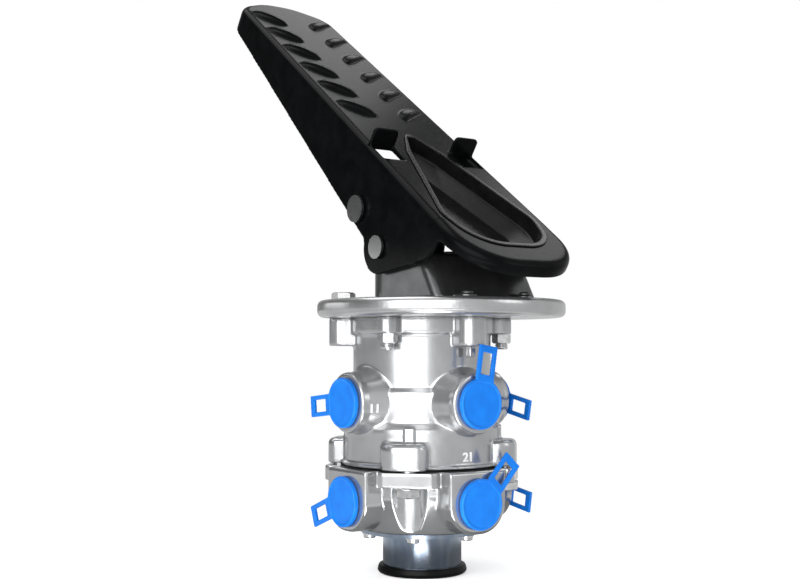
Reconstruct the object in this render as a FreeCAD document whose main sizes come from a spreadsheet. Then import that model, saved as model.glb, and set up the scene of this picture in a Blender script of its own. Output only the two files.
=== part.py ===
import FreeCAD, Part
import math
import os
import Sketcher
from FreeCAD import Placement, Rotation, Vector

# Foot brake valve: a treadle on a pedestal presses a plunger into a two-circuit valve.
# Millimetres. Everything is drawn about the valve's own axis, with Z = 0 at the underside of
# the mounting flange. The flange is off-centre, so every piece is then placed flange_offset
# towards the toe, which puts the origin at the centre of the flange.

SIZES = {
    # mounting flange
    "flange_radius": 72.5,
    "flange_offset": 19.0,
    "flange_thick": 10.0,
    "flange_round": 3.5,
    "mount_circle": 64.0,
    "mount_hole": 4.5,
    "flange_bore": 18.0,
    # upper housing
    "upper_height": 86.0,
    "collar_radius": 43.5,
    "collar_height": 9.5,
    "neck_radius": 41.0,
    "belt_radius": 43.0,
    "skirt_radius": 46.0,
    "seam_lip": 1.8,
    "upper_port_level": 49.0,
    "piston_bore": 27.0,
    "piston_bore_depth": 46.0,
    "seat_bore": 11.0,
    "seat_thick": 4.0,
    "valve_bore": 20.0,
    # lower housing
    "gasket_thick": 0.8,
    "lower_height": 36.6,
    "bowl_radius": 47.0,
    "foot_radius": 40.0,
    "lower_port_level": 105.0,
    "relay_bore": 30.0,
    "relay_bore_depth": 13.2,
    "relay_seat_bore": 10.5,
    "relay_valve_bore": 18.0,
    # ports and their caps
    "port_face": 54.0,
    "port_boss_radius": 17.5,
    "port_root_radius": 21.0,
    "boss_edge_round": 1.5,
    "lower_boss_half": 19.8,
    "lower_boss_drop": 17.0,
    "lower_boss_round": 17.4,
    "port_bore": 10.2,
    "port_depth": 14.0,
    "port_passage": 4.5,
    "cap_radius": 14.4,
    "cap_thick": 3.2,
    "cap_rim": 1.3,
    "cap_recess": 0.6,
    "cap_plug_wall": 1.6,
    "cap_plug_length": 10.0,
    "cap_clearance": 0.1,
    "cap_gap": 0.3,
    "tab_width": 12.4,
    "tab_reach": 33.0,
    "tab_thick": 1.8,
    "tab_slot_width": 7.2,
    "tab_slot_length": 12.5,
    "tab_margin": 4.0,
    # fasteners
    "lug_circle": 47.0,
    "lug_radius": 8.4,
    "lug_height": 16.5,
    "bung_half": 2.6,
    "bung_height": 6.5,
    "stud_circle": 48.0,
    "stud_lug_radius": 6.0,
    "bolt_radius": 4.0,
    "bolt_clearance": 0.1,
    "bolt_head_flats": 12.4,
    "bolt_head_height": 5.3,
    "stud_nut_flats": 10.0,
    "stud_nut_height": 5.5,
    "stud_tip": 18.5,
    "bolt_tip": 14.0,
    "seam_circle": 50.0,
    "seam_lug_reach": 56.0,
    "seam_lug_half": 12.5,
    "seam_lug_rise": 16.5,
    "seam_pad_half": 17.0,
    "seam_pad_drop": 8.6,
    "seam_bolt_grip": 24.0,
    "scallop_radius": 10.5,
    # exhaust
    "tube_radius": 23.3,
    "tube_wall": 1.5,
    "tube_length": 24.0,
    "tube_flange_radius": 37.0,
    "tube_flange_thick": 2.0,
    "exhaust_screw_circle": 33.0,
    "exhaust_screw_radius": 2.5,
    "exhaust_head_radius": 4.2,
    "exhaust_head_height": 3.0,
    "ring_radius": 26.6,
    "ring_height": 5.0,
    "ring_overhang": 2.5,
    "flap_thick": 1.5,
    # pedestal
    "pedestal_half": 36.5,
    "pedestal_toe": 20.0,
    "pedestal_heel": 65.0,
    "pedestal_top_level": 49.0,
    "pedestal_lean": 30.0,
    "pedestal_wall": 3.0,
    "pedestal_toe_level": 42.0,
    "pedestal_heel_level": 36.0,
    "pedestal_corner": 7.0,
    "foot_screw_x": 70.0,
    "foot_screw_y": 20.6,
    "foot_lug_radius": 5.0,
    "foot_lug_thick": 2.0,
    "foot_screw_radius": 2.0,
    "foot_head_radius": 3.4,
    "foot_head_height": 1.8,
    # treadle, drawn flat with its top face up
    "pedal_angle": 36.0,
    "pedal_level": 102.0,
    "plate_thick": 3.0,
    "cheek_wall": 2.5,
    "plate_round": 4.5,
    "toe_reach": 220.0,
    "toe_half": 36.5,
    "heel_half": 41.5,
    "heel_reach": 129.0,
    "heel_corner": 33.0,
    "heel_lip_depth": 10.5,
    "toe_skirt_depth": 11.5,
    "lobe_radius": 15.5,
    "lobe_slope": 42.0,
    "cheek_end": 97.0,
    "pivot_x": 13.5,
    "pivot_z": 40.0,
    "pivot_radius": 5.0,
    "pivot_head_radius": 6.75,
    "roller_x": -8.0,
    "roller_z": 64.0,
    "roller_pin_radius": 5.0,
    "roller_head_radius": 8.0,
    "pin_head_thick": 1.6,
    "roller_radius": 13.0,
    "roller_width": 20.0,
    "opening_start": 19.0,
    "opening_end": 109.0,
    "opening_half": 33.0,
    "opening_neck_half": 13.0,
    "tab_stand_height": 11.0,
    "tab_stand_inner": 21.0,
    "tab_stand_outer": 38.3,
    "tab_stand_thick": 2.0,
    "tab_stand_place": -0.7,
    "window_length": 16.0,
    "louvre_pitch": 27.6,
    "louvre_length": 26.4,
    "louvre_depth": 7.0,
    "louvre_height": 3.2,
    "louvre_skin": 1.1,
    "louvre_floor": 0.8,
    "louvre_angle": 52.7,
    "louvre_place": 49.0,
    "louvre_across": 21.0,
    # heel dish
    "dish_clearance": 0.3,
    "dish_rim_width": 1.6,
    "dish_rim_height": 0.8,
    "dish_wall": 1.5,
    "dish_depth": 8.0,
    "dish_ledge": 0.8,
    "scoop_depth": 6.0,
    "scoop_slope": 58.0,
    # plunger train
    "plunger_radius": 9.0,
    "plunger_head_radius": 15.0,
    "plunger_head_thick": 4.0,
    "roller_gap": 0.3,
    "running_gap": 0.05,
    "bush_collar_radius": 24.0,
    "spring_plate_level": 9.0,
    "spring_plate_thick": 3.0,
    "spring_plate_radius": 15.0,
    "rubber_spring_height": 12.0,
    "rubber_spring_radius": 17.0,
    "piston_thick": 9.0,
    "piston_stem_radius": 8.5,
    "stem_bore": 5.0,
    "seal_height": 2.4,
    "seal_depth": 2.2,
    "return_spring_radius": 20.0,
    "return_wire": 1.3,
    "stem_gap": 1.8,
    "valve_disc_radius": 13.0,
    "valve_disc_thick": 3.3,
    "valve_tube_radius": 6.0,
    "valve_spring_height": 6.5,
    "valve_spring_radius": 9.0,
    "valve_wire": 0.8,
    "guide_thick": 3.0,
    "retainer_thick": 1.3,
    "retainer_bite": 1.0,
    "relay_thick": 7.0,
    "relay_stem_radius": 7.5,
    "relay_disc_radius": 12.5,
}

PORTS = 4
SEAM_BOLTS = 4
FLANGE_BOLTS = 3
EXHAUST_SCREWS = 6
LOUVRES = 6
HELIX_STEPS = 4

doc = FreeCAD.newDocument("FootBrakeValve")
sheet = doc.addObject("Spreadsheet::Sheet", "Sizes")
for row, (alias, number) in enumerate(SIZES.items(), start=1):
    sheet.set(f"A{row}", alias)
    sheet.set(f"B{row}", str(number))
    sheet.setAlias(f"B{row}", alias)
doc.recompute()


class Size:
    """A number of the model together with the sheet expression that gives it."""

    def __init__(self, value, text):
        self.value = value
        self.text = text

    def __add__(self, other):
        other = as_size(other)
        return Size(self.value + other.value, f"({self.text} + {other.text})")

    def __sub__(self, other):
        other = as_size(other)
        return Size(self.value - other.value, f"({self.text} - {other.text})")

    def __mul__(self, other):
        other = as_size(other)
        return Size(self.value * other.value, f"({self.text} * {other.text})")

    def __truediv__(self, other):
        other = as_size(other)
        return Size(self.value / other.value, f"({self.text} / {other.text})")

    def __radd__(self, other):
        return as_size(other) + self

    def __rsub__(self, other):
        return as_size(other) - self

    def __rmul__(self, other):
        return as_size(other) * self

    def __neg__(self):
        return as_size(0) - self


def as_size(number):
    if isinstance(number, Size):
        return number
    return Size(float(number), f"({number})")


def sine(angle):
    angle = as_size(angle)
    return Size(math.sin(math.radians(angle.value)), f"sin({angle.text})")


def cosine(angle):
    angle = as_size(angle)
    return Size(math.cos(math.radians(angle.value)), f"cos({angle.text})")


def tangent(angle):
    return sine(angle) / cosine(angle)


class Sheet:
    """Sheet cells by name, each as a Size."""

    def __getattr__(self, alias):
        return Size(SIZES[alias], f"Sizes.{alias}")


size = Sheet()


# Sketches

def new_body(name):
    body = doc.addObject("PartDesign::Body", name)
    body.Label = name
    return body


def origin_feature(body, role):
    return next(item for item in body.Origin.OriginFeatures if item.Role == role)


def new_sketch(body, name, plane, lift=0, up=0, along=0, turn=0):
    """Sketch on an origin plane of its body, lifted along the plane's normal."""
    sketch = body.newObject("Sketcher::SketchObject", name)
    sketch.AttachmentSupport = (origin_feature(body, plane), [""])
    sketch.MapMode = "FlatFace"
    sketch.AttachmentOffset = Placement(Vector(), Rotation(Vector(0, 0, 1), float(turn)))
    for axis, amount in (("x", along), ("y", up), ("z", lift)):
        sketch.setExpression(f"AttachmentOffset.Base.{axis}", as_size(amount).text)
    return sketch


def bind(sketch, kind, places, amount):
    """A driving distance or radius, bound to its expression."""
    amount = as_size(amount)
    index = sketch.addConstraint(Sketcher.Constraint(kind, *places, amount.value))
    sketch.setExpression(f"Constraints[{index}]", amount.text)


def bind_point(sketch, geometry, point, across, up):
    bind(sketch, "DistanceX", (-1, 1, geometry, point), across)
    bind(sketch, "DistanceY", (-1, 1, geometry, point), up)


def circle(sketch, across, up, radius):
    across, up, radius = as_size(across), as_size(up), as_size(radius)
    centre = Vector(across.value, up.value, 0)
    index = sketch.addGeometry(Part.Circle(centre, Vector(0, 0, 1), radius.value))
    bind_point(sketch, index, 3, across, up)
    bind(sketch, "Radius", (index,), radius)


def corner_arc(before, here, after, radius):
    """Tangent points, centre and turning side of the arc that rounds one corner."""
    back = (before - here).normalize()
    ahead = (after - here).normalize()
    half = math.acos(max(-1.0, min(1.0, back.dot(ahead)))) / 2
    reach = radius / math.tan(half)
    centre = here + (back + ahead).normalize() * (radius / math.sin(half))
    left_turn = (here - before).cross(after - here).z > 0
    return here + back * reach, here + ahead * reach, centre, left_turn


def outline(sketch, corners):
    """Closed outline through its corners: (across, up) sharp, (across, up, radius) rounded."""
    corners = [[as_size(number) for number in corner] for corner in corners]
    points = [Vector(corner[0].value, corner[1].value, 0) for corner in corners]
    count = len(points)
    enters, leaves, arcs = [], [], []
    for i, corner in enumerate(corners):
        if len(corner) == 2:
            enters.append(points[i])
            leaves.append(points[i])
            arcs.append(None)
            continue
        arc = corner_arc(points[i - 1], points[i], points[(i + 1) % count], corner[2].value)
        enters.append(arc[0])
        leaves.append(arc[1])
        arcs.append(arc)
    lines = [sketch.addGeometry(Part.LineSegment(leaves[i], enters[(i + 1) % count]))
             for i in range(count)]
    for i, corner in enumerate(corners):
        before, after = lines[i - 1], lines[i]
        if arcs[i] is None:
            sketch.addConstraint(Sketcher.Constraint("Coincident", before, 2, after, 1))
            bind_point(sketch, after, 1, corner[0], corner[1])
            continue
        enter, leave, centre, left_turn = arcs[i]
        start, stop = (enter, leave) if left_turn else (leave, enter)
        first = math.atan2(start.y - centre.y, start.x - centre.x)
        last = math.atan2(stop.y - centre.y, stop.x - centre.x)
        if last < first:
            last += 2 * math.pi
        round_edge = Part.Circle(centre, Vector(0, 0, 1), corner[2].value)
        arc = sketch.addGeometry(Part.ArcOfCircle(round_edge, first, last))
        tip = sketch.addGeometry(Part.Point(points[i]), True)
        come, go = (1, 2) if left_turn else (2, 1)
        sketch.addConstraint([
            Sketcher.Constraint("Tangent", before, 2, arc, come),
            Sketcher.Constraint("Tangent", arc, go, after, 1),
            Sketcher.Constraint("PointOnObject", tip, 1, before),
            Sketcher.Constraint("PointOnObject", tip, 1, after),
        ])
        bind_point(sketch, tip, 1, corner[0], corner[1])
        bind(sketch, "Radius", (arc,), corner[2])


def box_outline(sketch, low_across, high_across, low_up, high_up, radius=None):
    spots = [(low_across, low_up), (high_across, low_up), (high_across, high_up), (low_across, high_up)]
    outline(sketch, [spot if radius is None else (*spot, radius) for spot in spots])


def mirrored_outline(sketch, half):
    """Outline from the corners of its upper half, which start and end off the centre line."""
    lower = [(corner[0], -as_size(corner[1]), *corner[2:]) for corner in reversed(half)]
    outline(sketch, list(half) + lower)


# Features

def extrude(body, kind, name, sketch, length=None, reverse=False, both_ways=False):
    feature = body.newObject(f"PartDesign::{kind}", name)
    feature.Profile = sketch
    feature.Reversed = reverse
    if both_ways:
        feature.SideType = "Symmetric"
    if length is None:
        feature.Type = "ThroughAll"
    else:
        feature.setExpression("Length", as_size(length).text)
    return feature


def pad(body, name, sketch, length, **ways):
    return extrude(body, "Pad", name, sketch, length, **ways)


def pocket(body, name, sketch, length=None, **ways):
    return extrude(body, "Pocket", name, sketch, length, **ways)


def turned(body, kind, name, sketch, axis="V_Axis"):
    feature = body.newObject(f"PartDesign::{kind}", name)
    feature.Profile = sketch
    feature.ReferenceAxis = (sketch, [axis])
    feature.Angle = 360
    return feature


def revolve(body, name, sketch, axis="V_Axis"):
    return turned(body, "Revolution", name, sketch, axis)


def groove(body, name, sketch, axis="V_Axis"):
    return turned(body, "Groove", name, sketch, axis)


def ring_of(body, name, features, count):
    pattern = body.newObject("PartDesign::PolarPattern", name)
    pattern.Originals = features
    pattern.Axis = (origin_feature(body, "Z_Axis"), [""])
    pattern.Angle = 360
    pattern.Occurrences = count
    body.Tip = pattern
    return pattern


def mirror_of(body, name, features, plane="XZ_Plane"):
    mirrored = body.newObject("PartDesign::Mirrored", name)
    mirrored.Originals = features
    mirrored.MirrorPlane = (origin_feature(body, plane), [""])
    body.Tip = mirrored
    return mirrored


def fillet(body, name, base, chosen, radius):
    """Rounds the edges of the base feature that the test picks."""
    doc.recompute()
    edges = [f"Edge{i}" for i, edge in enumerate(base.Shape.Edges, start=1) if chosen(edge)]
    rounded = body.newObject("PartDesign::Fillet", name)
    rounded.Base = (base, edges)
    rounded.setExpression("Radius", as_size(radius).text)
    return rounded


def at_height(edge, height):
    box = edge.BoundBox
    return abs(box.ZMin - height) < 0.01 and abs(box.ZMax - height) < 0.01


# Placing and keeping

subparts = []


def place(item, across=0, along=0, up=0, rotation=None):
    """Shifts a finished piece from the valve's axis to the row's frame and keeps it."""
    item.Placement = Placement(Vector(), rotation or Rotation())
    for axis, amount in (("x", as_size(across) - size.flange_offset), ("y", along), ("z", up)):
        item.setExpression(f"Placement.Base.{axis}", as_size(amount).text)
    subparts.append(item)


def turned_piece(name, corners, up=0):
    """A piece turned about the valve's axis from its half profile."""
    body = new_body(name)
    sketch = new_sketch(body, name + "_profile", "XZ_Plane")
    outline(sketch, corners)
    revolve(body, name + "_turned", sketch)
    place(body, up=up)
    return body


def primitive(kind, name, sizes, spot=(0, 0, 0), rotation=None):
    """A Part primitive with its sizes and its place bound to the sheet."""
    item = doc.addObject(f"Part::{kind}", name)
    for prop, amount in sizes.items():
        item.setExpression(prop, as_size(amount).text)
    item.Placement = Placement(Vector(), rotation or Rotation())
    for axis, amount in zip("xyz", spot):
        item.setExpression(f"Placement.Base.{axis}", as_size(amount).text)
    return item


def joined(name, pieces):
    fusion = doc.addObject("Part::MultiFuse", name)
    fusion.Shapes = pieces
    return fusion


def group(name, pieces):
    """Identical pieces in one sub-part, each a solid of its own."""
    compound = doc.addObject("Part::Compound", name)
    compound.Label = name
    compound.Links = pieces
    place(compound)
    return compound


def hexagon(name, flats, height, spot, rotation=None):
    prism = primitive("Prism", name, {"Circumradius": flats / (2 * cosine(30)), "Height": height},
                      spot, rotation)
    prism.Polygon = 6
    return prism


def ring_spot(radius, angle):
    return radius * cosine(angle), radius * sine(angle)


# Levels that several pieces share, measured down from the flange's underside

seam_level = -size.upper_height
lower_top = seam_level - size.gasket_thick
lower_foot = lower_top - size.lower_height
bolt_hole = size.bolt_radius + size.bolt_clearance
exhaust_hole = size.exhaust_screw_radius + size.bolt_clearance
plunger_top = size.roller_z - size.roller_radius - size.roller_gap
seat_level = -(size.piston_bore_depth + size.seat_thick)
relay_ledge = lower_top - size.relay_bore_depth
relay_seat_level = relay_ledge - size.seat_thick


# Mounting flange

def make_mounting_flange():
    body = new_body("mounting_flange")
    disc = new_sketch(body, "flange_disc", "XY_Plane")
    circle(disc, size.flange_offset, 0, size.flange_radius)
    plate = pad(body, "flange_plate", disc, size.flange_thick)
    rim = fillet(body, "flange_rim", plate, lambda edge: edge.Length > 100, size.flange_round)
    body.Tip = rim
    holes = new_sketch(body, "flange_holes", "XY_Plane")
    circle(holes, 0, 0, size.flange_bore)
    for i in range(FLANGE_BOLTS):
        circle(holes, *ring_spot(size.lug_circle, 120 * i), bolt_hole)
        circle(holes, *ring_spot(size.stud_circle, 120 * i + 60), bolt_hole)
        across, along = ring_spot(size.mount_circle, 120 * i)
        circle(holes, across + size.flange_offset, along, size.mount_hole)
    for side in (-1, 1):
        circle(holes, size.foot_screw_x, side * size.foot_screw_y, foot_hole)
    pocket(body, "flange_drilling", holes, both_ways=True)
    place(body)


foot_hole = size.foot_screw_radius + size.bolt_clearance


# Housings

def add_upper_ports(body, level, name, root):
    """Four flared port bosses round the upper housing."""
    boss = new_sketch(body, name + "_boss", "XZ_Plane", up=level)
    outline(boss, [
        (0, 0), (size.port_face, 0), (size.port_face, size.port_boss_radius - 1),
        (size.port_face - 1, size.port_boss_radius), (size.port_face - 5, size.port_boss_radius, 4),
        (size.neck_radius - 3, root), (0, root)])
    turned_boss = revolve(body, name + "_boss_turned", boss, "H_Axis")
    ring_of(body, name + "_bosses", [turned_boss], PORTS)


def add_lower_ports(body):
    """Four square-shouldered port bosses that run down from the seam."""
    boss = new_sketch(body, "lower_boss", "YZ_Plane")
    foot = -(size.lower_port_level + size.lower_boss_drop)
    half = size.lower_boss_half
    outline(boss, [
        (-half, lower_top), (-half, foot, size.lower_boss_round),
        (half, foot, size.lower_boss_round), (half, lower_top)])
    block = pad(body, "lower_boss_block", boss, size.port_face)
    blocks = ring_of(body, "lower_boss_blocks", [block], PORTS)
    fillet(body, "lower_boss_rounding", blocks, on_port_face, size.boss_edge_round)


def on_port_face(edge):
    """An edge that lies in the plane of one of the four port faces."""
    box = edge.BoundBox
    face = SIZES["port_face"]
    return any(abs(abs(low) - face) < 0.01 and abs(low - high) < 0.01
               for low, high in ((box.XMin, box.XMax), (box.YMin, box.YMax)))


def add_port_bores(body, level, name, chamber):
    bore = new_sketch(body, name + "_bore", "XZ_Plane", up=level)
    blind = size.port_face - size.port_depth
    outline(bore, [
        (chamber - 2, 0), (size.port_face + 1, 0), (size.port_face + 1, size.port_bore),
        (blind, size.port_bore), (blind, size.port_passage), (chamber - 2, size.port_passage)])
    turned_bore = groove(body, name + "_bore_turned", bore, "H_Axis")
    ring_of(body, name + "_bores", [turned_bore], PORTS)


def add_seam_lugs(body, name, level, height, half, radius, reverse=False):
    lug = new_sketch(body, name, "XY_Plane", lift=level, turn=45)
    mirrored_outline(lug, [
        (size.seam_lug_reach, half, radius), (size.neck_radius - 10, half)])
    block = pad(body, name + "_block", lug, height, reverse=reverse)
    ring_of(body, name + "_blocks", [block], SEAM_BOLTS)


def make_upper_housing():
    body = new_body("upper_housing")
    profile = new_sketch(body, "upper_profile", "XZ_Plane")
    belt_top = -(size.upper_port_level - 9)
    belt_foot = -(size.upper_port_level + 11)
    outline(profile, [
        (0, 0), (size.collar_radius, 0), (size.collar_radius, -size.collar_height, 1.2),
        (size.neck_radius, -size.collar_height, 1), (size.neck_radius, belt_top),
        (size.belt_radius, belt_top - 3), (size.belt_radius, belt_foot, 3),
        (size.skirt_radius, belt_foot - 4, 3), (size.skirt_radius, seam_level + size.seam_lip),
        (size.skirt_radius + size.seam_lip, seam_level + size.seam_lip),
        (size.skirt_radius + size.seam_lip, seam_level), (0, seam_level)])
    revolve(body, "upper_casting", profile)
    add_upper_ports(body, -size.upper_port_level, "upper_port", size.port_root_radius)
    for name, circle_radius, turn, radius, height in (
            ("flange_lug", size.lug_circle, 0, size.lug_radius, size.lug_height),
            ("stud_lug", size.stud_circle, 60, size.stud_lug_radius, size.collar_height)):
        lug = new_sketch(body, name, "XY_Plane", turn=turn)
        mirrored_outline(lug, [
            (circle_radius + radius, radius, radius - 0.2), (size.neck_radius - 10, radius)])
        block = pad(body, name + "_block", lug, height, reverse=True)
        ring_of(body, name + "_blocks", [block], FLANGE_BOLTS)
    add_seam_lugs(body, "seam_lug", seam_level, size.seam_lug_rise, size.seam_lug_half,
                  size.seam_lug_half - 3)
    bung = new_sketch(body, "lug_bung", "XY_Plane", lift=-size.lug_height)
    box_outline(bung, size.lug_circle - size.bung_half, size.lug_circle + size.bung_half,
                -size.bung_half, size.bung_half, 1)
    pad(body, "lug_bung_pad", bung, size.bung_height, reverse=True)
    holes = new_sketch(body, "upper_top_holes", "XY_Plane")
    for i in range(FLANGE_BOLTS):
        circle(holes, *ring_spot(size.lug_circle, 120 * i), bolt_hole)
        circle(holes, *ring_spot(size.stud_circle, 120 * i + 60), bolt_hole)
    pocket(body, "upper_top_drilling", holes, size.bolt_tip + 1)
    seam_holes = new_sketch(body, "upper_seam_holes", "XY_Plane", lift=seam_level)
    for i in range(SEAM_BOLTS):
        circle(seam_holes, *ring_spot(size.seam_circle, 90 * i + 45), bolt_hole)
    pocket(body, "upper_seam_drilling", seam_holes,
           size.seam_bolt_grip - size.seam_pad_drop + 1, reverse=True)
    bore = new_sketch(body, "upper_bore", "XZ_Plane")
    ring_groove = guide_foot
    outline(bore, [
        (0, 1), (size.piston_bore, 1), (size.piston_bore, -size.piston_bore_depth),
        (size.seat_bore, -size.piston_bore_depth), (size.seat_bore, seat_level),
        (size.valve_bore, seat_level), (size.valve_bore, ring_groove),
        (size.valve_bore + size.retainer_bite, ring_groove),
        (size.valve_bore + size.retainer_bite, ring_groove - size.retainer_thick),
        (size.valve_bore, ring_groove - size.retainer_thick),
        (size.valve_bore, seam_level - 1), (0, seam_level - 1)])
    groove(body, "upper_boring", bore)
    add_port_bores(body, -size.upper_port_level, "upper_port", size.valve_bore)
    place(body)


def make_lower_housing():
    body = new_body("lower_housing")
    profile = new_sketch(body, "lower_profile", "XZ_Plane")
    outline(profile, [
        (0, lower_top), (size.bowl_radius + 1, lower_top), (size.bowl_radius + 1, lower_top - 2.5),
        (size.bowl_radius, lower_top - 3), (size.bowl_radius, lower_top - 16, 12),
        (size.foot_radius, lower_foot, 5), (0, lower_foot)])
    revolve(body, "lower_casting", profile)
    add_lower_ports(body)
    add_seam_lugs(body, "seam_pad", lower_top, size.seam_pad_drop, size.seam_pad_half, 4,
                  reverse=True)
    scallop = new_sketch(body, "bolt_scallop", "XY_Plane", lift=lower_top - size.seam_pad_drop)
    for i in range(SEAM_BOLTS):
        circle(scallop, *ring_spot(size.seam_circle, 90 * i + 45), size.scallop_radius)
    pocket(body, "bolt_scallops", scallop, size.lower_height)
    seam_holes = new_sketch(body, "lower_seam_holes", "XY_Plane", lift=lower_top)
    for i in range(SEAM_BOLTS):
        circle(seam_holes, *ring_spot(size.seam_circle, 90 * i + 45), bolt_hole)
    pocket(body, "lower_seam_drilling", seam_holes, size.seam_pad_drop + 14)
    screw_holes = new_sketch(body, "lower_screw_holes", "XY_Plane", lift=lower_foot)
    for i in range(EXHAUST_SCREWS):
        circle(screw_holes, *ring_spot(size.exhaust_screw_circle, 60 * i + 15), exhaust_hole)
    pocket(body, "lower_screw_drilling", screw_holes, exhaust_thread + 1, reverse=True)
    bore = new_sketch(body, "lower_bore", "XZ_Plane")
    ring_groove = relay_guide_foot
    bite = size.relay_valve_bore + size.retainer_bite
    outline(bore, [
        (0, lower_top + 1), (size.relay_bore, lower_top + 1), (size.relay_bore, relay_ledge),
        (size.relay_seat_bore, relay_ledge), (size.relay_seat_bore, relay_seat_level),
        (size.relay_valve_bore, relay_seat_level), (size.relay_valve_bore, ring_groove),
        (bite, ring_groove), (bite, ring_groove - size.retainer_thick),
        (size.relay_valve_bore, ring_groove - size.retainer_thick),
        (size.relay_valve_bore, lower_foot - 1), (0, lower_foot - 1)])
    groove(body, "lower_boring", bore)
    add_port_bores(body, -size.lower_port_level, "lower_port", size.relay_valve_bore)
    place(body)


def make_body_gasket():
    turned_piece("body_gasket", [
        (size.relay_bore + 1, seam_level), (size.skirt_radius - 1.5, seam_level),
        (size.skirt_radius - 1.5, lower_top), (size.relay_bore + 1, lower_top)])


# Port caps: the tab's angle is counted from the plane's upright, as seen from outside

CAPS = {
    "upper_cap_near": (-90, "upper_port_level", -96),
    "upper_cap_heel": (0, "upper_port_level", 9),
    "upper_cap_far": (90, "upper_port_level", -101),
    "upper_cap_toe": (180, "upper_port_level", -12),
    "lower_cap_near": (-90, "lower_port_level", -111),
    "lower_cap_heel": (0, "lower_port_level", 43),
    "lower_cap_far": (90, "lower_port_level", -99),
    "lower_cap_toe": (180, "lower_port_level", 15),
}


def make_port_cap(name, turn, level, tab_turn):
    body = new_body(name)
    seat = size.port_face + size.cap_gap
    face = seat + size.cap_thick
    plug = size.port_bore - size.cap_clearance
    hollow = plug - size.cap_plug_wall
    profile = new_sketch(body, name + "_profile", "XZ_Plane")
    outline(profile, [
        (seat - size.cap_plug_length, hollow), (seat - size.cap_plug_length, plug), (seat, plug),
        (seat, size.cap_radius, 0.8), (face, size.cap_radius, 0.8), (face, size.cap_radius - size.cap_rim),
        (face - size.cap_recess, size.cap_radius - size.cap_rim), (face - size.cap_recess, 0),
        (seat + 1, 0), (seat + 1, hollow)])
    revolve(body, name + "_turned", profile, "H_Axis")
    tab = new_sketch(body, name + "_tab", "YZ_Plane", lift=face - size.tab_thick)
    half = size.tab_width / 2
    box_outline(tab, -half, half, size.cap_radius - 2, size.tab_reach)
    slot_half = size.tab_slot_width / 2
    slot_top = size.tab_reach - size.tab_margin
    box_outline(tab, -slot_half, slot_half, slot_top - size.tab_slot_length, slot_top)
    pad(body, name + "_tab_plate", tab, size.tab_thick)
    spin = Rotation(Vector(1, 0, 0), -tab_turn)
    place(body, up=-level, rotation=Rotation(Vector(0, 0, 1), turn) * spin)


# Fasteners

def make_flange_bolts():
    top = size.flange_thick
    bolts = []
    for i in range(FLANGE_BOLTS):
        spot = ring_spot(size.lug_circle, 120 * i)
        head = hexagon(f"flange_bolt_head_{i}", size.bolt_head_flats, size.bolt_head_height, (*spot, top))
        shank = primitive("Cylinder", f"flange_bolt_shank_{i}",
                          {"Radius": size.bolt_radius, "Height": top + size.bolt_tip},
                          (*spot, -size.bolt_tip))
        bolts.append(joined(f"flange_bolt_{i}", [head, shank]))
    group("flange_bolts", bolts)


def make_flange_studs():
    studs = []
    nuts = []
    for i in range(FLANGE_BOLTS):
        spot = ring_spot(size.stud_circle, 120 * i + 60)
        studs.append(primitive("Cylinder", f"flange_stud_{i}",
                               {"Radius": size.bolt_radius, "Height": size.stud_tip + size.flange_thick},
                               (*spot, -size.stud_tip)))
        nut = hexagon(f"stud_nut_{i}_blank", size.stud_nut_flats, size.stud_nut_height,
                      (*spot, -size.collar_height - size.stud_nut_height))
        hole = primitive("Cylinder", f"stud_nut_{i}_hole", {"Radius": bolt_hole, "Height": size.stud_nut_height},
                         (*spot, -size.collar_height - size.stud_nut_height))
        cut = doc.addObject("Part::Cut", f"stud_nut_{i}")
        cut.Base = nut
        cut.Tool = hole
        nuts.append(cut)
    group("flange_studs", studs)
    group("stud_nuts", nuts)


def make_housing_bolts():
    seat = lower_top - size.seam_pad_drop
    bolts = []
    for i in range(SEAM_BOLTS):
        spot = ring_spot(size.seam_circle, 90 * i + 45)
        head = hexagon(f"housing_bolt_head_{i}", size.bolt_head_flats, size.bolt_head_height,
                       (*spot, seat - size.bolt_head_height))
        shank = primitive("Cylinder", f"housing_bolt_shank_{i}",
                          {"Radius": size.bolt_radius, "Height": size.seam_bolt_grip}, (*spot, seat))
        bolts.append(joined(f"housing_bolt_{i}", [head, shank]))
    group("housing_bolts", bolts)


# Exhaust

exhaust_thread = as_size(7)
tube_top = lower_foot
tube_end = tube_top - size.tube_length


def make_exhaust_tube():
    inner = size.tube_radius - size.tube_wall
    body = turned_piece("exhaust_tube", [
        (inner, tube_top), (size.tube_flange_radius, tube_top),
        (size.tube_flange_radius, tube_top - size.tube_flange_thick),
        (size.tube_radius, tube_top - size.tube_flange_thick, 1.5),
        (size.tube_radius, tube_end), (inner, tube_end)])
    holes = new_sketch(body, "tube_flange_holes", "XY_Plane", lift=tube_top)
    for i in range(EXHAUST_SCREWS):
        circle(holes, *ring_spot(size.exhaust_screw_circle, 60 * i + 15), exhaust_hole)
    pocket(body, "tube_flange_drilling", holes, size.tube_flange_thick + 1)


def make_exhaust_screws():
    seat = tube_top - size.tube_flange_thick
    screws = []
    for i in range(EXHAUST_SCREWS):
        spot = ring_spot(size.exhaust_screw_circle, 60 * i + 15)
        head = primitive("Cylinder", f"exhaust_screw_head_{i}",
                         {"Radius": size.exhaust_head_radius, "Height": size.exhaust_head_height},
                         (*spot, seat - size.exhaust_head_height))
        shank = primitive("Cylinder", f"exhaust_screw_shank_{i}",
                          {"Radius": size.exhaust_screw_radius,
                           "Height": size.tube_flange_thick + exhaust_thread}, (*spot, seat))
        screws.append(joined(f"exhaust_screw_{i}", [head, shank]))
    group("exhaust_screws", screws)


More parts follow.
